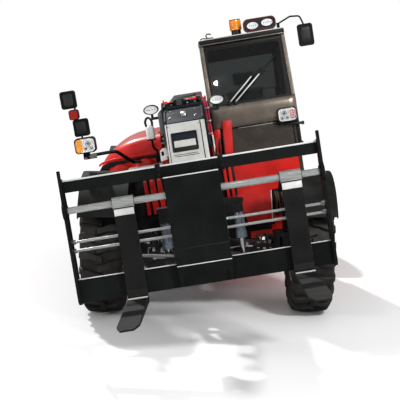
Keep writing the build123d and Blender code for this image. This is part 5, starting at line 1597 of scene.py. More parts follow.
@dataclass
class Cab:
    """Cab trim: seals, bowed cowl, pillars, twin wiper, seams, roof, door furniture and interior."""

    shop: Shop
    front: float = 0.78

    def build(self) -> None:
        """Build every piece."""
        self._screen_border()
        self._cowl()
        self._nose()
        self._wiper()
        self._pillars()
        self._roof()
        self._door()
        self._rear_window()
        self._interior()

    def _screen_border(self) -> None:
        """Black band round the windscreen and over the header."""
        form = self.shop.screen()
        form.collar(rounded(0.2815, 1.1085, 0.044, 0.679, 0.022, 5), rounded(0.301, 1.074, 0.064, 0.664, 0.034, 5),
                    Axis.Y, 0.0015, 0.0072)
        form.made("screen_border", "seal_rubber", "chassis", "plastic")
        header = self.shop.screen()
        header.block((0.284, -0.006, 0.68), (1.106, -0.0004, 0.733), 0.0025)
        header.made("screen_header", "seal_rubber", "chassis", "plastic")

    def _cowl(self) -> None:
        """Bowed cowl below the windscreen in the lighter copy of the cab's paint, which is painted highlight, with its
        dark seam and a light grey line below it that is a painted highlight.
        """
        side = [(0.0, 1.938), (0.01, 1.937), (0.024, 1.93), (0.036, 1.914), (0.044, 1.89), (0.048, 1.855),
                (0.049, 1.81),
                (0.046, 1.765), (0.039, 1.728), (0.028, 1.705), (0.014, 1.698), (0.0, 1.697)]
        form = self.shop.level()
        stations = ((0.244, 0.15, 0.93), (0.25, 0.45, 0.97), (0.262, 0.72, 0.99), (0.285, 0.92, 1.0), (0.32, 1.0, 1.0),
                    (0.7, 1.06, 1.0), (1.07, 1.0, 1.0), (1.105, 0.92, 1.0), (1.128, 0.72, 0.99), (1.14, 0.45, 0.97),
                    (1.146, 0.15, 0.93))
        form.loft([[(x, self.front - 0.0003 - out * deep, 1.818 + (z - 1.818) * tall) for out, z in side]
                   for x, deep, tall in stations])
        form.made("cab_cowl", "cab_highlight_enamel", "chassis", "paint_cab")
        dark = self.shop.level()
        dark.block((0.3, self.front - 0.01, 1.6885), (1.128, self.front - 0.0002, 1.6965), 0.001)
        dark.made("cab_cowl_seam", "seal_rubber", "chassis", "paint_dark")
        # Light grey line below the seam: painted highlight.
        bright = self.shop.level()
        bright.prism([(0.512, 1.682), (0.905, 1.682), (0.905, 1.687), (0.512, 1.687)], Axis.Y, self.front - 0.006,
                     self.front - 0.0002, 0.0006)
        bright.made("cab_cowl_line", "bright_edge", "chassis", "paint_cab")

    def _nose(self) -> None:
        """Lower nose panel: raised skin, screws, side rubbers and the lamp's bracket bar."""
        skin = self.shop.level()
        outline = [(0.4, 1.362), (1.072, 1.362), (1.072, 1.674), (0.405, 1.676)]
        skin.relief(outline, self.front, ((1.0, 0.0003), (1.0, 0.004), (0.988, 0.007), (0.5, 0.0105)))
        skin.made("nose_panel", "cab_enamel", "chassis", "paint_cab")
        rubbers = self.shop.level()
        rubbers.block((1.076, self.front - 0.006, 1.362), (1.09, self.front - 0.0003, 1.676), 0.002)
        rubbers.block((1.112, self.front - 0.009, 1.362), (1.148, self.front - 0.0003, 1.69), 0.003)
        rubbers.block((0.246, self.front - 0.008, 1.362), (0.352, self.front - 0.0003, 1.692), 0.003)
        rubbers.made("nose_rubbers", "seal_rubber", "chassis", "plastic")
        screws = self.shop.level()
        for x, z in ((0.588, 1.497), (0.64, 1.49), (0.43, 1.64), (1.045, 1.64), (0.43, 1.39), (1.045, 1.39)):
            screws.turned([(0, 0.0), (0, 0.0075), (0.003, 0.0065), (0.0045, 0.003), (0.0045, 0.0)],
                          (x, self.front - 0.0085, z),
                          (0, -1, 0), 16)
        screws.made("nose_screws", "seal_rubber", "chassis", "steel")
        bracket = self.shop.level()
        bracket.bent([(0.905, 0.762, 1.672), (1.01, 0.735, 1.655), (1.13, 0.73, 1.645), (1.185, 0.742, 1.64)], 0.014)
        bracket.rod((1.172, 0.742, 1.641), (1.196, 0.742, 1.639), 0.019)
        for x in (0.955, 1.085):
            bracket.block((x - 0.018, 0.728, 1.64), (x + 0.018, self.front - 0.0003, 1.69), 0.004)
        bracket.made("left_lamp_bracket", "black_plastic", "chassis", "paint_dark")

    def _wiper(self) -> None:
        """Twin wiper arms from their pivots on the cowl, each a black spine under a light grey strip that is a painted
        highlight, linkage and blade on the glass.
        """
        base = self.shop.screen()
        for x in (0.455, 0.52):
            base.turned([(0, 0.0), (0, 0.02), (0.012, 0.02), (0.02, 0.014), (0.022, 0.0)], (x, -0.024, 0.04),
                        (0, -1, 0), 24)
            base.rod((x, -0.026, 0.04), (x, 0.0, 0.036), 0.01)
        base.prism([(0.425, 0.014), (0.56, 0.01), (0.572, 0.034), (0.54, 0.058), (0.44, 0.06), (0.42, 0.04)], Axis.Y,
                   -0.026, -0.01, 0.004)
        base.made("wiper_base", "seal_rubber", "chassis", "plastic")
        # The light grey strips on the arms are painted highlights; the black spines under them are the arms.
        arms, spines = self.shop.screen(), self.shop.screen()
        for (x0, z0), (x1, z1) in (((0.47, 0.062), (0.729, 0.302)), ((0.528, 0.056), (0.816, 0.316))):
            direction = (Vector((x1, 0, z1)) - Vector((x0, 0, z0))).normalized()
            turn = Matrix.Rotation(-math.atan2(direction.z, direction.x), 3, "Y")
            middle, length = Vector(((x0 + x1) / 2, -0.04, (z0 + z1) / 2)), math.hypot(x1 - x0, z1 - z0)
            half = Vector((length / 2, 0.004, 0.0062))
            arms.block(middle - half, middle + half, 0.0025, turn)
            low, half = middle + Vector((0, 0.0075, 0)), Vector((length / 2 + 0.012, 0.004, 0.0105))
            spines.block(low - half, low + half, 0.002, turn)
        spines.hose([(0.729, -0.034, 0.302), (0.8, -0.034, 0.352), (0.86, -0.03, 0.372)], 0.0085)
        spines.hose([(0.816, -0.034, 0.316), (0.85, -0.032, 0.345), (0.87, -0.03, 0.378)], 0.0085)
        spines.block((0.838, -0.04, 0.348), (0.884, -0.018, 0.392), 0.006)
        start, end = Vector((0.7, -0.012, 0.232)), Vector((1.03, -0.012, 0.512))
        spines.rod(start, end, 0.0078, 10)
        direction = (end - start).normalized()
        turn = Matrix.Rotation(-math.atan2(direction.z, direction.x), 3, "Y")
        middle, half = (start + end) / 2 + Vector((0, 0.008, 0)), Vector(((end - start).length / 2, 0.0095, 0.003))
        spines.block(middle - half, middle + half, 0.001, turn)
        arms.made("wiper_arms", "bright_edge", "chassis", "plastic")
        spines.made("wiper_blade", "seal_rubber", "chassis", "plastic")

    def _pillars(self) -> None:
        """Rounded covers on the two front pillars, in the lighter copy of the cab's paint that is painted highlight."""
        form = self.shop.screen()
        for x0, x1 in ((0.241, 0.279), (1.111, 1.149)):
            outline = rounded(x0, x1, -0.015, -0.0003, 0.007, 4)
            form.prism(outline, Axis.Z, 0.046, 0.73)
        form.made("pillar_covers", "cab_highlight_enamel", "chassis", "paint_cab")

    def _roof(self) -> None:
        """Fascia, a light grey edge that is a painted highlight, a drip rail in the lighter copy of the cab's paint
        that is painted highlight, fittings, lifting eyes and ribs of the roof.
        """
        fascia = self.shop.level()
        fascia.block((0.246, 0.986, 2.601), (1.144, 0.9898, 2.64), 0.001)
        fascia.made("roof_fascia", "seal_rubber", "chassis", "plastic")
        rail, edge = self.shop.level(), self.shop.level()
        # Light grey strip on the roof's front edge: painted highlight.
        edge.prism([(0.9895, 2.642), (0.9835, 2.643), (0.9825, 2.65), (0.986, 2.652), (0.9895, 2.652)], Axis.X, 0.242,
                   1.146, 0.0008)
        edge.made("roof_bright_edge", "bright_edge", "chassis", "paint_cab")
        rail.prism([(0.9885, 2.586), (0.98, 2.589), (0.979, 2.596), (0.986, 2.6), (0.9895, 2.6)], Axis.X, 0.242,
                   1.146, 0.0008)
        rail.made("roof_drip_rail", "cab_highlight_enamel", "chassis", "paint_cab")
        dark = self.shop.level()
        dark.block((0.318, 1.01, 2.6502), (0.4, 1.07, 2.664), 0.004)
        dark.hose([(0.335, 1.04, 2.66), (0.326, 1.02, 2.688), (0.346, 1.0, 2.704), (0.38, 0.995, 2.694)], 0.0065)
        for x, y in ((0.3, 2.08), (1.09, 2.08)):
            dark.bent([(x - 0.03, y, 2.648), (x - 0.03, y, 2.69), (x + 0.03, y, 2.69), (x + 0.03, y, 2.648)], 0.007)
        dark.made("roof_fittings", "black_plastic", "chassis", "plastic")
        ribs = Form(Matrix.Identity(4))
        ribs.prism([(-0.018, 0.0), (-0.012, 0.008), (0.012, 0.008), (0.018, 0.0)], Axis.Y, 0.0, 0.82, 0.001)
        place = self.shop.site.level @ Matrix.Translation((0.38, 1.2, 2.6498))
        self.shop.pattern("roof_ribs", ribs, "cab_enamel", place, "chassis", "paint_cab",
                          count=7, step=(0.105, 0.0, 0.0))

    def _door(self) -> None:
        """Window seal, handle, grab rail and lock of the door, which ride on it."""
        window = [(0.95, 1.5), (0.95, 1.9), (1.144, 2.45), (2.04, 2.45), (2.09, 2.37), (2.09, 1.5)]
        smooth = rounded_corners([*window, window[0], window[1]], 0.05, 4)[1:-1]
        centre = (1.52, 1.96)
        seal = self.shop.level()
        outer = [(y + (0.012 if y > centre[0] else -0.012), z + (0.012 if z > centre[1] else -0.012)) for y,
                 z in smooth]
        inner = [(y - (0.016 if y > centre[0] else -0.016), z - (0.016 if z > centre[1] else -0.016)) for y,
                 z in smooth]
        seal.collar(outer, inner, Axis.X, 1.1495, 1.155)
        seal.made("door_window_seal", "seal_rubber", "cab_door", "plastic")
        furniture = self.shop.level()
        furniture.block((1.15, 1.01, 1.38), (1.162, 1.15, 1.44), 0.004)
        furniture.bent([(1.158, 1.025, 1.412), (1.184, 1.03, 1.412), (1.184, 1.132, 1.412), (1.158, 1.138, 1.412)],
                       0.008)
        furniture.bent([(1.149, 2.04, 1.06), (1.186, 2.04, 1.075), (1.186, 2.04, 1.42), (1.149, 2.04, 1.435)], 0.011)
        furniture.made("door_handle", "black_plastic", "cab_door", "plastic")
        lock = self.shop.level()
        lock.turned([(0, 0.0), (0, 0.011), (0.003, 0.011), (0.004, 0.0)], (1.1618, 1.08, 1.394), (1, 0, 0), 20)
        lock.made("door_lock", "chrome", "cab_door", "chrome")

    def _rear_window(self) -> None:
        """Seal of the rear window."""
        form = self.shop.level()
        form.collar(rounded(0.3, 1.09, 1.685, 2.005, 0.03), rounded(0.33, 1.06, 1.712, 1.996, 0.022), Axis.Y, 2.2598,
                    2.265)
        form.made("rear_window_seal", "seal_rubber", "chassis", "plastic")

    def _interior(self) -> None:
        """Levers, column lever, console and armrests inside the cab."""
        form = self.shop.level()
        for x, y, lean in ((0.47, 1.64, -0.02), (0.505, 1.66, 0.0), (0.54, 1.68, 0.02)):
            form.rod((x, y, 1.3), (x + lean, y - 0.05, 1.56), 0.008)
            form.turned([(0, 0.0), (0.0, 0.012), (0.02, 0.022), (0.046, 0.02), (0.056, 0.0)],
                        (x + lean, y - 0.052, 1.55),
                        (lean, -0.05, 0.26), 20)
        form.hose([(0.74, 1.25, 1.79), (0.82, 1.24, 1.815), (0.88, 1.235, 1.82)], 0.007)
        form.prism([(1.33, 1.0), (1.9, 1.0), (1.9, 1.29), (1.64, 1.31), (1.54, 1.31), (1.33, 1.18)], Axis.X,
                   0.42, 0.495, 0.012)
        form.made("cab_levers", "dark_interior", "chassis", "plastic")
        pads = self.shop.level()
        pads.block((0.452, 1.7, 1.56), (0.5, 1.93, 1.6), 0.014)
        pads.block((0.89, 1.7, 1.56), (0.938, 1.93, 1.6), 0.014)
        for x in (0.476, 0.914):
            pads.prism([(1.9, 1.4), (1.93, 1.4), (1.925, 1.565), (1.88, 1.565)], Axis.X, x - 0.015, x + 0.015, 0.004)
        pads.made("seat_armrests", "grey_trim", "chassis", "seat")


@dataclass
class ChassisFront:
    """Ribs, red post, hoses and hydraulic fittings that show round and through the carriage."""

    shop: Shop

    def build(self) -> None:
        """Build every piece."""
        self._ribs()
        self._post()
        self._panel_trim()
        self._axle_fittings()
        self._levelling_hoses()
        self._reservoir()

    def _ribs(self) -> None:
        """Red ribs on the bay's front wall and beside the panel under the cab, over dark plates."""
        dark = self.shop.level()
        dark.block((-0.64, 0.77, 0.9), (-0.3, 0.7797, 1.33), 0.002)
        dark.block((0.24, 0.78, 0.96), (0.398, 0.7898, 1.346), 0.002)
        dark.block((0.24, 0.8, 0.46), (0.56, 0.808, 0.975), 0.002)
        dark.made("rib_back_plates", "seal_rubber", "chassis", "paint_dark")
        ribs = self.shop.level()
        for x0, x1, lean in ((-0.575, -0.538, 0.01), (-0.508, -0.448, 0.004), (-0.418, -0.368, -0.006)):
            ribs.prism([(x0, 0.93), (x1, 0.93), (x1 + lean, 1.13), (x1 + lean, 1.32), (x0 + lean, 1.32),
                        (x0 + lean, 1.13)],
                       Axis.Y, 0.722, 0.7705, 0.004)
        for x0, x1 in ((0.286, 0.316), (0.338, 0.37)):
            ribs.prism([(x0, 0.975), (x1, 0.965), (x1 - 0.004, 1.34), (x0 - 0.006, 1.34)], Axis.Y, 0.742, 0.7805, 0.004)
        ribs.made("front_red_ribs", "red_enamel", "chassis", "paint_red")
        bolts = self.shop.level()
        for x, z in ((-0.548, 1.285), (-0.474, 1.285), (-0.397, 1.285), (-0.474, 0.96), (-0.397, 0.96)):
            bolts.bolt((x, 0.722, z), (0, -1, 0), 0.01)
        bolts.made("rib_bolts", "zinc_bolts", "chassis", "steel")

    def _post(self) -> None:
        """Red post before the cab's nose, the red casting beside it and the hoses between them."""
        form = self.shop.level()
        form.prism([(0.318, 1.352), (0.404, 1.35), (0.428, 1.56), (0.45, 1.77), (0.436, 1.786), (0.362, 1.79),
                    (0.35, 1.776), (0.334, 1.56)], Axis.Y, 0.712, 0.7455, 0.005)
        form.block((0.362, 0.74, 1.6), (0.422, 0.772, 1.64), 0.003)
        form.block((0.346, 0.74, 1.4), (0.4, 0.772, 1.44), 0.003)
        form.prism([(0.246, 1.43), (0.292, 1.43), (0.318, 1.69), (0.306, 1.708), (0.262, 1.712), (0.248, 1.69)], Axis.Y,
                   0.7, 0.745, 0.006)
        form.block((0.262, 0.74, 1.56), (0.3, 0.772, 1.6), 0.003)
        form.block((0.256, 0.694, 1.64), (0.312, 0.702, 1.668), 0.003)
        form.block((0.252, 0.694, 1.5), (0.3, 0.702, 1.53), 0.003)
        form.made("nose_red_post", "red_enamel", "chassis", "paint_red")
        hoses = self.shop.level()
        hoses.hose([(0.3, 0.77, 1.69), (0.296, 0.7, 1.6), (0.28, 0.69, 1.48), (0.29, 0.72, 1.33), (0.3, 0.778, 1.25)],
                   0.011)
        hoses.hose([(0.33, 0.77, 1.7), (0.338, 0.69, 1.61), (0.326, 0.68, 1.48), (0.33, 0.715, 1.33),
                    (0.335, 0.778, 1.27)],
                   0.009)
        hoses.made("nose_hoses", "hose_rubber", "chassis", "plastic")

    def _panel_trim(self) -> None:
        """Shelf line, a white strip on its edge that is a painted highlight, dark corner box and hoses of the red panel
        under the cab.
        """
        dark = self.shop.level()
        dark.prism([(0.395, 0.664), (0.745, 0.642), (0.745, 0.616), (0.47, 0.622), (0.4, 0.64)], Axis.Y, 0.776,
                   0.7898, 0.003)
        dark.prism([(0.764, 0.7), (0.98, 0.7), (0.99, 0.98), (0.764, 0.978)], Axis.Y, 0.8, 0.989, 0.004)
        dark.block((0.47, 0.78, 0.577), (0.705, 0.7898, 0.612), 0.002)
        dark.made("panel_dark_trim", "seal_rubber", "chassis", "paint_dark")
        # White strip along the panel's edge: painted highlight.
        pale = self.shop.level()
        pale.prism([(0.746, 0.98), (0.756, 0.984), (0.725, 0.64), (0.715, 0.64)], Axis.Y, 0.78, 0.7945, 0.001)
        pale.made("panel_pale_edge", "white_plastic", "chassis", "plastic")
        hoses = self.shop.level()
        for x, bend in ((0.79, 0.006), (0.818, -0.004), (0.852, 0.01)):
            hoses.hose([(x, 0.796, 0.965), (x + bend, 0.782, 0.88), (x - bend, 0.78, 0.79), (x + bend, 0.79, 0.715)],
                       0.01)
        hoses.made("panel_hoses", "brown_hose", "chassis", "plastic")
        bolts = self.shop.level()
        for x, z in ((0.44, 1.31), (0.6, 1.31), (0.76, 1.31), (0.92, 1.31), (1.06, 1.31), (1.06, 1.06), (0.5, 0.54),
                     (0.68, 0.54)):
            bolts.bolt((x, 0.79, z), (0, -1, 0), 0.008)
        bolts.made("panel_bolts", "red_enamel", "chassis", "steel")

    def _axle_fittings(self) -> None:
        """Manifolds, fittings, guard, valves, tubes and short hoses on the front of the axle."""
        for name, x, count in (("left", 0.48, 4), ("right", -0.65, 5)):
            rail = self.shop.ground_form()
            rail.block((x - 0.03, -0.148, 0.655), (x + count * 0.045, -0.06, 0.69), 0.004)
            rail.made(f"axle_{name}_manifold", "seal_rubber", "front_axle", "paint_dark")
            item = Form(Matrix.Identity(4))
            item.turned([(0, 0.0), (0, 0.012), (0.01, 0.012), (0.012, 0.008), (0.026, 0.008), (0.028, 0.011),
                         (0.04, 0.011),
                         (0.042, 0.0)], (0, 0, 0), (0, -0.35, 1), 8)
            place = self.shop.site.ground @ Matrix.Translation((x, -0.13, 0.686))
            self.shop.pattern(f"axle_{name}_fittings", item, "chrome", place, "front_axle", "steel",
                              count=count, step=(0.045, 0.0, 0.0))
        guard = self.shop.ground_form()
        guard.prism([(-0.64, 0.47), (-0.56, 0.415), (0.56, 0.415), (0.64, 0.47), (0.64, 0.56), (-0.64, 0.56)], Axis.Y,
                    -0.056, -0.044, 0.003)
        guard.made("axle_front_guard", "frame_enamel", "front_axle", "paint_dark")
        valves = self.shop.ground_form()
        for x, z, tall in ((-0.56, 0.64, 0.05), (-0.52, 0.61, 0.07), (-0.47, 0.65, 0.045), (-0.44, 0.6, 0.06),
                           (0.5, 0.64, 0.04), (0.56, 0.63, 0.055), (0.62, 0.645, 0.045)):
            valves.block((x - 0.013, -0.112, z), (x + 0.013, -0.06, z + 0.026), 0.003)
            valves.turned([(0, 0.0), (0, 0.0105), (tall * 0.3, 0.0105), (tall * 0.35, 0.007), (tall * 0.8, 0.007),
                           (tall * 0.85, 0.01), (tall, 0.01), (tall, 0.0)], (x, -0.1, z + 0.02), (0, -0.25, 1), 8)
        valves.made("axle_valves", "bright_edge", "front_axle", "steel")
        tubes = self.shop.ground_form()
        for x0, z0, x1, z1, radius in ((-0.426, 0.672, -0.408, 0.548, 0.0115), (-0.571, 0.732, -0.572, 0.585, 0.006),
                                       (-0.343, 0.754, -0.339, 0.545, 0.007), (-0.509, 0.548, -0.336, 0.548, 0.009),
                                       (0.227, 0.643, 0.3, 0.657, 0.008), (0.3, 0.657, 0.46, 0.662, 0.008),
                                       (0.388, 0.655, 0.388, 0.7, 0.011), (0.6, 0.69, 0.606, 0.79, 0.007)):
            deep = -0.11 if x0 > 0 else -0.125
            tubes.rod((x0, deep, z0), (x1, deep, z1), radius, 12, radius * 0.2)
        for x, z in ((-0.509, 0.548), (-0.336, 0.548), (-0.571, 0.7), (-0.426, 0.65)):
            tubes.bolt((x, -0.133, z), (0, -1, 0), 0.014)
        tubes.made("axle_bright_tubes", "brushed_shaft", "front_axle", "steel")
        hoses = self.shop.ground_form()
        for x, end, high_z in ((0.48, 0.6, 0.775), (0.525, 0.58, 0.755), (0.57, 0.64, 0.765), (-0.515, -0.46, 0.775),
                               (-0.605, -0.49, 0.765)):
            hoses.hose([(x, -0.144, 0.724), (x, -0.165, high_z), ((x + end) / 2, -0.17, high_z + 0.02),
                        (end, -0.14, high_z - 0.02),
                        (end, -0.06, 0.69)], 0.0085)
        hoses.made("axle_hoses", "hose_rubber", "front_axle", "plastic")

    def _levelling_hoses(self) -> None:
        """Pipes and bands on the levelling cylinders' barrels."""
        for name, x in (("left", 0.36), ("right", -0.36)):
            pipes = self.shop.level()
            for shift in (-0.016, 0.016):
                pipes.hose([(x + shift, -0.236, 0.96), (x + shift * 1.5, -0.25, 0.9), (x + shift * 1.5, -0.246, 0.82),
                            (x + shift, -0.234, 0.79)], 0.0065)
            pipes.made(f"{name}_levelling_pipes", "steel_pipe", f"{name}_levelling_barrel", "steel")
            bands = self.shop.level()
            for z in (0.93, 0.85):
                bands.turned([(-0.007, 0.0345), (-0.007, 0.0385), (0.007, 0.0385), (0.007, 0.0345)], (x, -0.19, z),
                             (0, 0, 1), 28,
                             ring=True)
            bands.made(f"{name}_levelling_bands", "zinc_bolts", f"{name}_levelling_barrel", "steel")

    def _reservoir(self) -> None:
        """Washer bottle with its hose loop and stand, and the bolts of the lamp stalk's clamp."""
        bottle = self.shop.level()
        bottle.loft([[(x, y, z) for x, y in rounded(-0.446 + inset, -0.36 - inset, 0.64 + inset, 0.735 - inset, 0.018)]
                     for z, inset in ((1.722, 0.01), (1.728, 0.0), (1.835, 0.0), (1.852, 0.006), (1.862, 0.022),
                                      (1.866, 0.032))])
        bottle.made("washer_bottle", "lamp_white", "chassis", "plastic")
        loop = self.shop.level()
        loop.hose([(-0.434, 0.686, 1.855), (-0.44, 0.684, 1.905), (-0.418, 0.682, 1.942), (-0.392, 0.682, 1.94),
                   (-0.372, 0.684, 1.905),
                   (-0.374, 0.686, 1.855)], 0.0125)
        loop.made("washer_hose_loop", "hose_rubber", "chassis", "plastic")
        knuckle = self.shop.level()
        for x, z in ((-1.02, 1.682), (-0.975, 1.694), (-0.93, 1.7)):
            knuckle.bolt((x, 0.0, z), (0, -1, 0), 0.012)
            knuckle.rod((x, -0.004, z), (x, 0.03, z), 0.007, 10)
        knuckle.block((-1.035, 0.004, 1.668), (-0.915, 0.012, 1.708), 0.003)
        knuckle.made("stalk_clamp_bolts", "zinc_bolts", "chassis", "steel")
        stand = self.shop.level()
        stand.block((-0.452, 0.634, 1.712), (-0.354, 0.742, 1.7215), 0.003)
        stand.bent([(-0.4, 0.69, 1.716), (-0.4, 0.69, 1.64), (-0.38, 0.735, 1.6), (-0.37, 0.782, 1.59)], 0.012)
        stand.block((-0.395, 0.76, 1.47), (-0.345, 0.7797, 1.544), 0.003)
        stand.rod((-0.37, 0.77, 1.52), (-0.37, 0.77, 1.6), 0.012)
        stand.made("washer_bottle_stand", "black_enamel", "chassis", "paint_dark")


@dataclass
class Seat:
    """Driver's seat: pedestal, shells, and stuffed cushions settled by a cloth run."""

    shop: Shop
    voxel: float = 0.009
    frames: int = 20
    most: float = 0.012
    pressure: float = 4.0
    quality: int = 4

    def build(self) -> None:
        """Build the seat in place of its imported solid."""
        base = self.shop.level()
        for step in range(5):
            inset = 0.006 * (step % 2)
            base.loft([[(x, y, z) for x, y in rounded(0.515 + inset, 0.875 - inset, 1.5 + inset, 1.88 - inset, 0.03)]
                       for z in (1.075 + step * 0.04, 1.11 + step * 0.04)])
        base.block((0.535, 1.5, 0.9905), (0.855, 1.89, 1.08), 0.01)
        base.block((0.505, 1.482, 1.27), (0.885, 1.898, 1.318), 0.012)
        base.made("seat_base", "dark_interior", "chassis", "plastic", ["driver_seat"])
        upright = Matrix.Rotation(math.radians(-12.0), 3, "X")
        self._cushion("seat_cushion", (0.695, 1.675, 1.382), (0.47, 0.47, 0.096), Matrix.Identity(3),
                      (-0.11, 0.0, 0.11))
        back = Matrix.Rotation(math.radians(78.0), 3, "X")
        self._cushion("seat_back", (0.695, 1.966, 1.75), (0.44, 0.59, 0.086), back, (-0.16, -0.03, 0.1))
        self._cushion("seat_headrest", (0.695, 2.05, 2.165), (0.25, 0.15, 0.07), back, ())
        shell = self.shop.level()
        middle, half = Vector((0.695, 2.026, 1.762)), Vector((0.205, 0.01, 0.27))
        shell.block(middle - half, middle + half, 0.009, upright)
        for x in (0.635, 0.755):
            shell.rod((x, 2.03, 1.98), (x, 2.066, 2.15), 0.0065)
        shell.made("seat_back_shell", "black_plastic", "chassis", "plastic", ["driver_seat"])

    def _cushion(self, name: str, centre: Point, size: Point, turn: Matrix, channels: Sequence[float]) -> None:
        """One stuffed cushion with piping and sewn channels.

        Args:
            name: its name.
            centre: its middle in the level drawing.
            size: its width, length and thickness.
            turn: how it is turned there.
            channels: where channels run across it, along its length.
        """
        wide, long, thick = (side / 2 - 0.008 for side in size)
        form = Form(Matrix.Identity(4))
        form.block((-wide, -long, -thick), (wide, long, thick), min(thick * 0.75, 0.034))
        data = self._settled(form.mesh_data(name), name)
        for vert in data.vertices:
            if vert.co.z > thick * 0.2:
                inside = max(0.0, 1.0 - (abs(vert.co.x) / (wide + 0.01)) ** 8)
                dip = sum(math.exp(-((vert.co.y - at) / 0.009) ** 2) for at in channels)
                vert.co.z -= 0.01 * min(1.0, dip) * inside
        place = self.shop.site.level @ Matrix.Translation(centre) @ turn.to_4x4()
        data.transform(place)
        piece = settle(data, name, self.shop.finishes["seat_cover"], "chassis", ["driver_seat"], 180.0)
        soft = piece.modifiers.new("soft", "SUBSURF")
        soft.levels = soft.render_levels = 1
        cord = Form(place, self.shop.finishes)
        reach = 0.006
        loop = rounded(-wide - reach, wide + reach, -long - reach, long + reach, 0.04, 5)
        cord.hose([(x, y, thick * 0.3) for x, y in [*loop, loop[0]]], 0.0038, 6, 1)
        cord.made(f"{name}_piping", "grey_trim", "chassis", "seat")

    def _settled(self, data: bpy.types.Mesh, name: str) -> bpy.types.Mesh:
        """The remeshed form, blown up by a short cloth run."""
        source = bpy.data.objects.new(f"{name}_run", data)
        scene = bpy.context.scene
        scene.collection.objects.link(source)
        grid = source.modifiers.new("grid", "REMESH")
        grid.mode = "VOXEL"
        grid.voxel_size = self.voxel
        graph = bpy.context.evaluated_depsgraph_get()
        graph.update()
        start = bpy.data.meshes.new_from_object(source.evaluated_get(graph))
        start.name = f"{name}_start"
        bpy.data.objects.remove(source)
        runner = bpy.data.objects.new(f"{name}_run", start)
        scene.collection.objects.link(runner)
        cloth = runner.modifiers.new("cloth", "CLOTH")
        cloth.settings.use_pressure = True
        cloth.settings.uniform_pressure_force = self.pressure
        cloth.settings.effector_weights.gravity = 0.0
        cloth.settings.quality = self.quality
        cloth.point_cache.frame_start, cloth.point_cache.frame_end = 1, self.frames
        for frame in range(1, self.frames + 1):
            scene.frame_set(frame)
        graph = bpy.context.evaluated_depsgraph_get()
        blown = bpy.data.meshes.new_from_object(runner.evaluated_get(graph))
        blown.name = f"{name}_blown"
        scene.frame_set(1)
        bpy.data.objects.remove(runner)
        for before, after in zip(start.vertices, blown.vertices):
            moved = after.co - before.co
            if moved.length > self.most:
                after.co = before.co + moved.normalized() * self.most
        return blown


@dataclass
class Boom:
    """Pipes, clamps, wear pads and the cover plate along the boom."""

    shop: Shop

    def build(self) -> None:
        """Build every piece."""
        pipes = self.shop.level()
        for z in (1.93, 1.9, 1.87):
            pipes.hose([(-0.205, 0.02, z), (-0.205, 1.6, z), (-0.205, 3.05, z), (-0.205, 3.2, z - 0.03),
                        (-0.205, 3.26, z - 0.11)], 0.0085)
        pipes.made("boom_side_pipes", "steel_pipe", "boom_outer", "steel")
        clamp = Form(Matrix.Identity(4))
        clamp.block((-0.219, -0.016, 1.852), (-0.1905, 0.016, 1.948), 0.004)
        clamp.bolt((-0.219, 0.0, 1.915), (-1, 0, 0), 0.006)
        clamp.bolt((-0.219, 0.0, 1.885), (-1, 0, 0), 0.006)
        place = self.shop.site.level @ Matrix.Translation((0.0, 0.25, 0.0))
        self.shop.pattern("boom_pipe_clamps", clamp, "black_plastic", place, "boom_outer", "plastic",
                          count=7, step=(0.0, 0.45, 0.0))
        pads = self.shop.level()
        for x in (-0.13, 0.13):
            for y in (0.18, 0.4):
                pads.block((x - 0.045, y - 0.06, 2.0552), (x + 0.045, y + 0.06, 2.064), 0.003)
                for dx in (-0.025, 0.025):
                    pads.bolt((x + dx, y, 2.064), (0, 0, 1), 0.009)
        for side in (-1, 1):
            for y in (0.18, 0.4):
                for z in (1.7, 1.76):
                    pads.bolt((side * 0.1905, y, z), (side, 0, 0), 0.011)
        pads.made("boom_wear_pad_bolts", "zinc_bolts", "boom_outer", "steel")
        cover = self.shop.level()
        cover.loft([[(x, y, z) for x, y in rounded(-0.12 + inset, 0.12 - inset, 2.15 + inset, 2.95 - inset, 0.03)]
                    for z, inset in ((2.0552, 0.0), (2.062, 0.0), (2.066, 0.006))])
        for x in (-0.1, 0.1):
            for y in (2.18, 2.55, 2.92):
                cover.bolt((x, y, 2.0655), (0, 0, 1), 0.007)
        cover.made("boom_top_cover", "black_enamel", "boom_outer", "paint_dark")


@dataclass
class Rear:
    """Trim of the counterweight and the tail: lifting eyes, bolts, blank plate and reflectors."""

    shop: Shop

    def build(self) -> None:
        """Build every piece."""
        bolts = Form(Matrix.Identity(4))
        bolts.turned([(0, 0.0), (0, 0.03), (0.012, 0.03), (0.016, 0.026), (0.016, 0.012), (0.006, 0.012), (0.006, 0.0)],
                     (0, 0, 0), (0, 1, 0), 24)
        place = self.shop.site.level @ Matrix.Translation((-0.33, 4.2502, 0.7))
        self.shop.pattern("counterweight_bolts", bolts, "zinc_bolts", place, "chassis", "steel",
                          count=2, step=(0.66, 0.0, 0.0))
        eyes = self.shop.level()
        for x in (-0.6, 0.6):
            eyes.bent([(x - 0.045, 4.08, 1.176), (x - 0.045, 4.08, 1.235), (x + 0.045, 4.08, 1.235),
                       (x + 0.045, 4.08, 1.176)],
                      0.013)
        eyes.made("counterweight_eyes", "black_enamel", "chassis", "paint_dark")
        plate = self.shop.level()
        plate.block((-0.26, 4.2502, 0.98), (0.26, 4.2545, 1.095), 0.002)
        plate.made("blank_number_plate", "white_plastic", "chassis", "plastic")
        for name, x in (("left", 0.9), ("right", -0.9)):
            lens = self.shop.level()
            lens.turned([(0, 0.0), (0, 0.032), (0.005, 0.032), (0.008, 0.026), (0.009, 0.0)], (x, 4.2502, 0.86),
                        (0, 1, 0), 32)
            lens.made(f"rear_reflector_{name}", "red_lens", "chassis", "lamp")


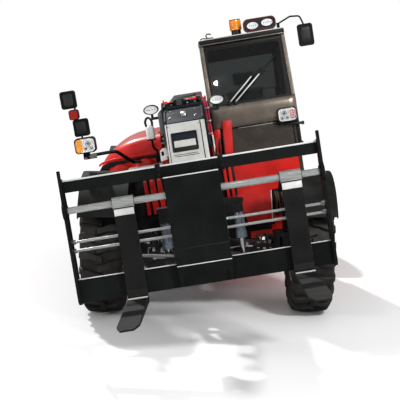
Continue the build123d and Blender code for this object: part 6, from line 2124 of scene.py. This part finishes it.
NODE_FINISHES = {
    "red_enamel": ("engine_hood", "cab_base"),
    "bay_enamel": ("engine_bay",),
    "chassis_enamel": ("chassis_frame",),
    "cab_enamel": ("cab_shell", "cab_roof", "cab_door"),
    "black_enamel": ("carriage_frame", "boom_outer", "mirror_stalk", "roof_mirror"),
    "frame_enamel": ("front_axle_housing", "rear_axle_housing", "engine_block", "tow_hitch",
                     "lift_barrel", "tilt_barrel"),
    "steel_pipe": ("left_levelling_barrel", "right_levelling_barrel"),
    "slate_enamel": ("boom_middle", "boom_inner"),
    "fork_forging": ("fork_left", "fork_right"),
    "cast_iron": ("counterweight",),
    "brushed_shaft": ("carriage_rods",),
    "chrome": ("lift_rod", "tilt_rod", "front_steering_rod", "rear_steering_rod", "left_levelling_rod",
               "right_levelling_rod"),
    "cab_glass": ("cab_glazing", "door_glass"),
    "black_plastic": ("dashboard", "roof_lights", "lamps", "boom_lamps", "driver_seat"),
}
CORNERS = ("front_left", "front_right", "rear_left", "rear_right")


def dress_frame(frame: dict, finishes: Finishes) -> None:
    """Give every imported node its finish.

    Args:
        frame: what the frame loader returned.
        finishes: the machine's finishes.
    """
    chosen = {node: name for name, nodes in NODE_FINISHES.items() for node in nodes}
    for corner in CORNERS:
        chosen[f"{corner}_knuckle"] = "frame_enamel"
        chosen[f"{corner}_mudguard"] = "guard_plastic"
        chosen[f"{corner}_rim"] = "wheel_enamel"
        chosen[f"{corner}_tyre"] = "tyre_rubber"
    for node, piece in frame["nodes"].items():
        piece.data.materials.clear()
        piece.data.materials.append(finishes[chosen[node]])
        log.info("node %s in %s", node, chosen[node])


@dataclass
class Studio:
    """The pale floor, the soft lights and the camera at the viewing angle."""

    camera_at: Point = (0.01, -10.142, 2.4)
    pitch: float = math.radians(7.78)
    yaw: float = math.radians(0.19)
    roll: float = math.radians(-0.05)
    focal_pixels: float = 982.0
    image_pixels: float = 400.0
    sensor: float = 36.0
    sky_light: float = 0.62
    sky_mirrored: float = 0.3
    sky_seen: float = 1.0
    floor_colour: Colour = (0.92, 0.92, 0.92)
    floor_mirrored: Colour = (0.25, 0.25, 0.25)
    floor_roughness: float = 0.9
    floor_gloss: float = 0.1
    glint_at: Point = (-0.362, -5.195, 6.561)
    glint_target: Point = (0.203, 0.268, 2.22)

    def build(self) -> None:
        """Build all three."""
        bpy.context.scene.view_settings.view_transform = "Standard"
        self._floor()
        self._lights()
        self._camera()

    def _floor(self) -> None:
        """A wide pale floor that stands for the plain ground."""
        form = bmesh.new()
        bmesh.ops.create_grid(form, x_segments=2, y_segments=2, size=60.0)
        mesh = bpy.data.meshes.new("studio_floor")
        form.to_mesh(mesh)
        form.free()
        floor = bpy.data.objects.new("studio_floor", mesh)
        bpy.context.scene.collection.objects.link(floor)
        made, n, surface = begun("pale_floor")
        mirrored = n.add("ShaderNodeLightPath").outputs["Is Glossy Ray"]
        shade = n.blend(mirrored, rgba(self.floor_colour), rgba(self.floor_mirrored))
        n.wire(surface, {"Base Color": shade, "Roughness": self.floor_roughness,
                         "Specular IOR Level": self.floor_gloss})
        mesh.materials.append(made)

    def _area(self, name: str, at: Point, target: Point, size: float, power: float) -> None:
        """One soft area light that looks at a target."""
        data = bpy.data.lights.new(name, "AREA")
        data.shape = "DISK"
        data.energy = power
        data.size = size
        lamp = bpy.data.objects.new(name, data)
        lamp.location = at
        lamp.rotation_mode = "QUATERNION"
        lamp.rotation_quaternion = (Vector(target) - Vector(at)).to_track_quat("-Z", "Y")
        bpy.context.scene.collection.objects.link(lamp)

    def _sun(self, name: str, at: Point, target: Point, softness: float, power: float) -> None:
        """One far light whose shadows have soft edges, softness degrees wide."""
        data = bpy.data.lights.new(name, "SUN")
        data.energy = power
        data.angle = math.radians(softness)
        lamp = bpy.data.objects.new(name, data)
        lamp.rotation_mode = "QUATERNION"
        lamp.rotation_quaternion = (Vector(target) - Vector(at)).to_track_quat("-Z", "Y")
        bpy.context.scene.collection.objects.link(lamp)

    def _lights(self) -> None:
        """A bright even sky, a high key from behind and a fill from the front."""
        world = bpy.data.worlds.new("studio_sky")
        world.use_nodes = True
        sky = world.node_tree.nodes["Background"]
        sky.inputs["Color"].default_value = (1.0, 1.0, 1.0, 1.0)
        n = Nodes(world.node_tree)
        path = n.add("ShaderNodeLightPath")
        light = n.ramp(path.outputs["Is Glossy Ray"], 0.0, 1.0, self.sky_light, self.sky_mirrored)
        seen = n.maths("MULTIPLY", path.outputs["Is Camera Ray"], self.sky_seen)
        world.node_tree.links.new(n.maths("MAXIMUM", light, seen), sky.inputs["Strength"])
        bpy.context.scene.world = world
        centre = (0.1, 0.2, 1.3)
        self._sun("key_light", (-3.0, 6.5, 8.0), centre, 2.5, 2.2)
        self._area("front_light", (4.5, -8.0, 7.0), centre, 1.6, 620.0)
        self._area("side_light", (-8.0, -4.5, 3.2), centre, 1.6, 200.0)
        self._area("glint_light", self.glint_at, self.glint_target, 0.07, 3.0)

    def _camera(self) -> None:
        """The camera, turned by its yaw, pitch and roll."""
        data = bpy.data.cameras.new("view_camera")
        data.sensor_width = self.sensor
        data.lens = self.focal_pixels / self.image_pixels * self.sensor
        data.clip_end = 200.0
        forward = Vector((math.sin(self.yaw) * math.cos(self.pitch), math.cos(self.yaw) * math.cos(self.pitch),
                          -math.sin(self.pitch)))
        right = Vector((math.cos(self.yaw), -math.sin(self.yaw), 0.0))
        up = right.cross(forward)
        rolled_right = right * math.cos(self.roll) + up * math.sin(self.roll)
        rolled_up = up * math.cos(self.roll) - right * math.sin(self.roll)
        turn = Matrix((rolled_right, rolled_up, -forward)).transposed()
        camera = bpy.data.objects.new("view_camera", data)
        camera.matrix_world = Matrix.Translation(self.camera_at) @ turn.to_4x4()
        bpy.context.scene.collection.objects.link(camera)
        bpy.context.scene.camera = camera


def main() -> None:
    logging.basicConfig(level=logging.INFO, format="%(name)s: %(message)s")
    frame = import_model()
    finishes = Finishes()
    site = Site.read(frame["joints"])
    dress_frame(frame, finishes)
    Studio().build()
    shop = Shop(site, finishes, Repeater(), frame)
    for assembly in (Wheels(shop), ForkCarriage(shop), BoomHead(shop), LampSet(shop),
                     Hood(shop), Cab(shop), ChassisFront(shop), Seat(shop), Boom(shop), Rear(shop)):
        assembly.build()
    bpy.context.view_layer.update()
    log.info("drawing places %s", site.level)


if __name__ == "__main__":
    main()
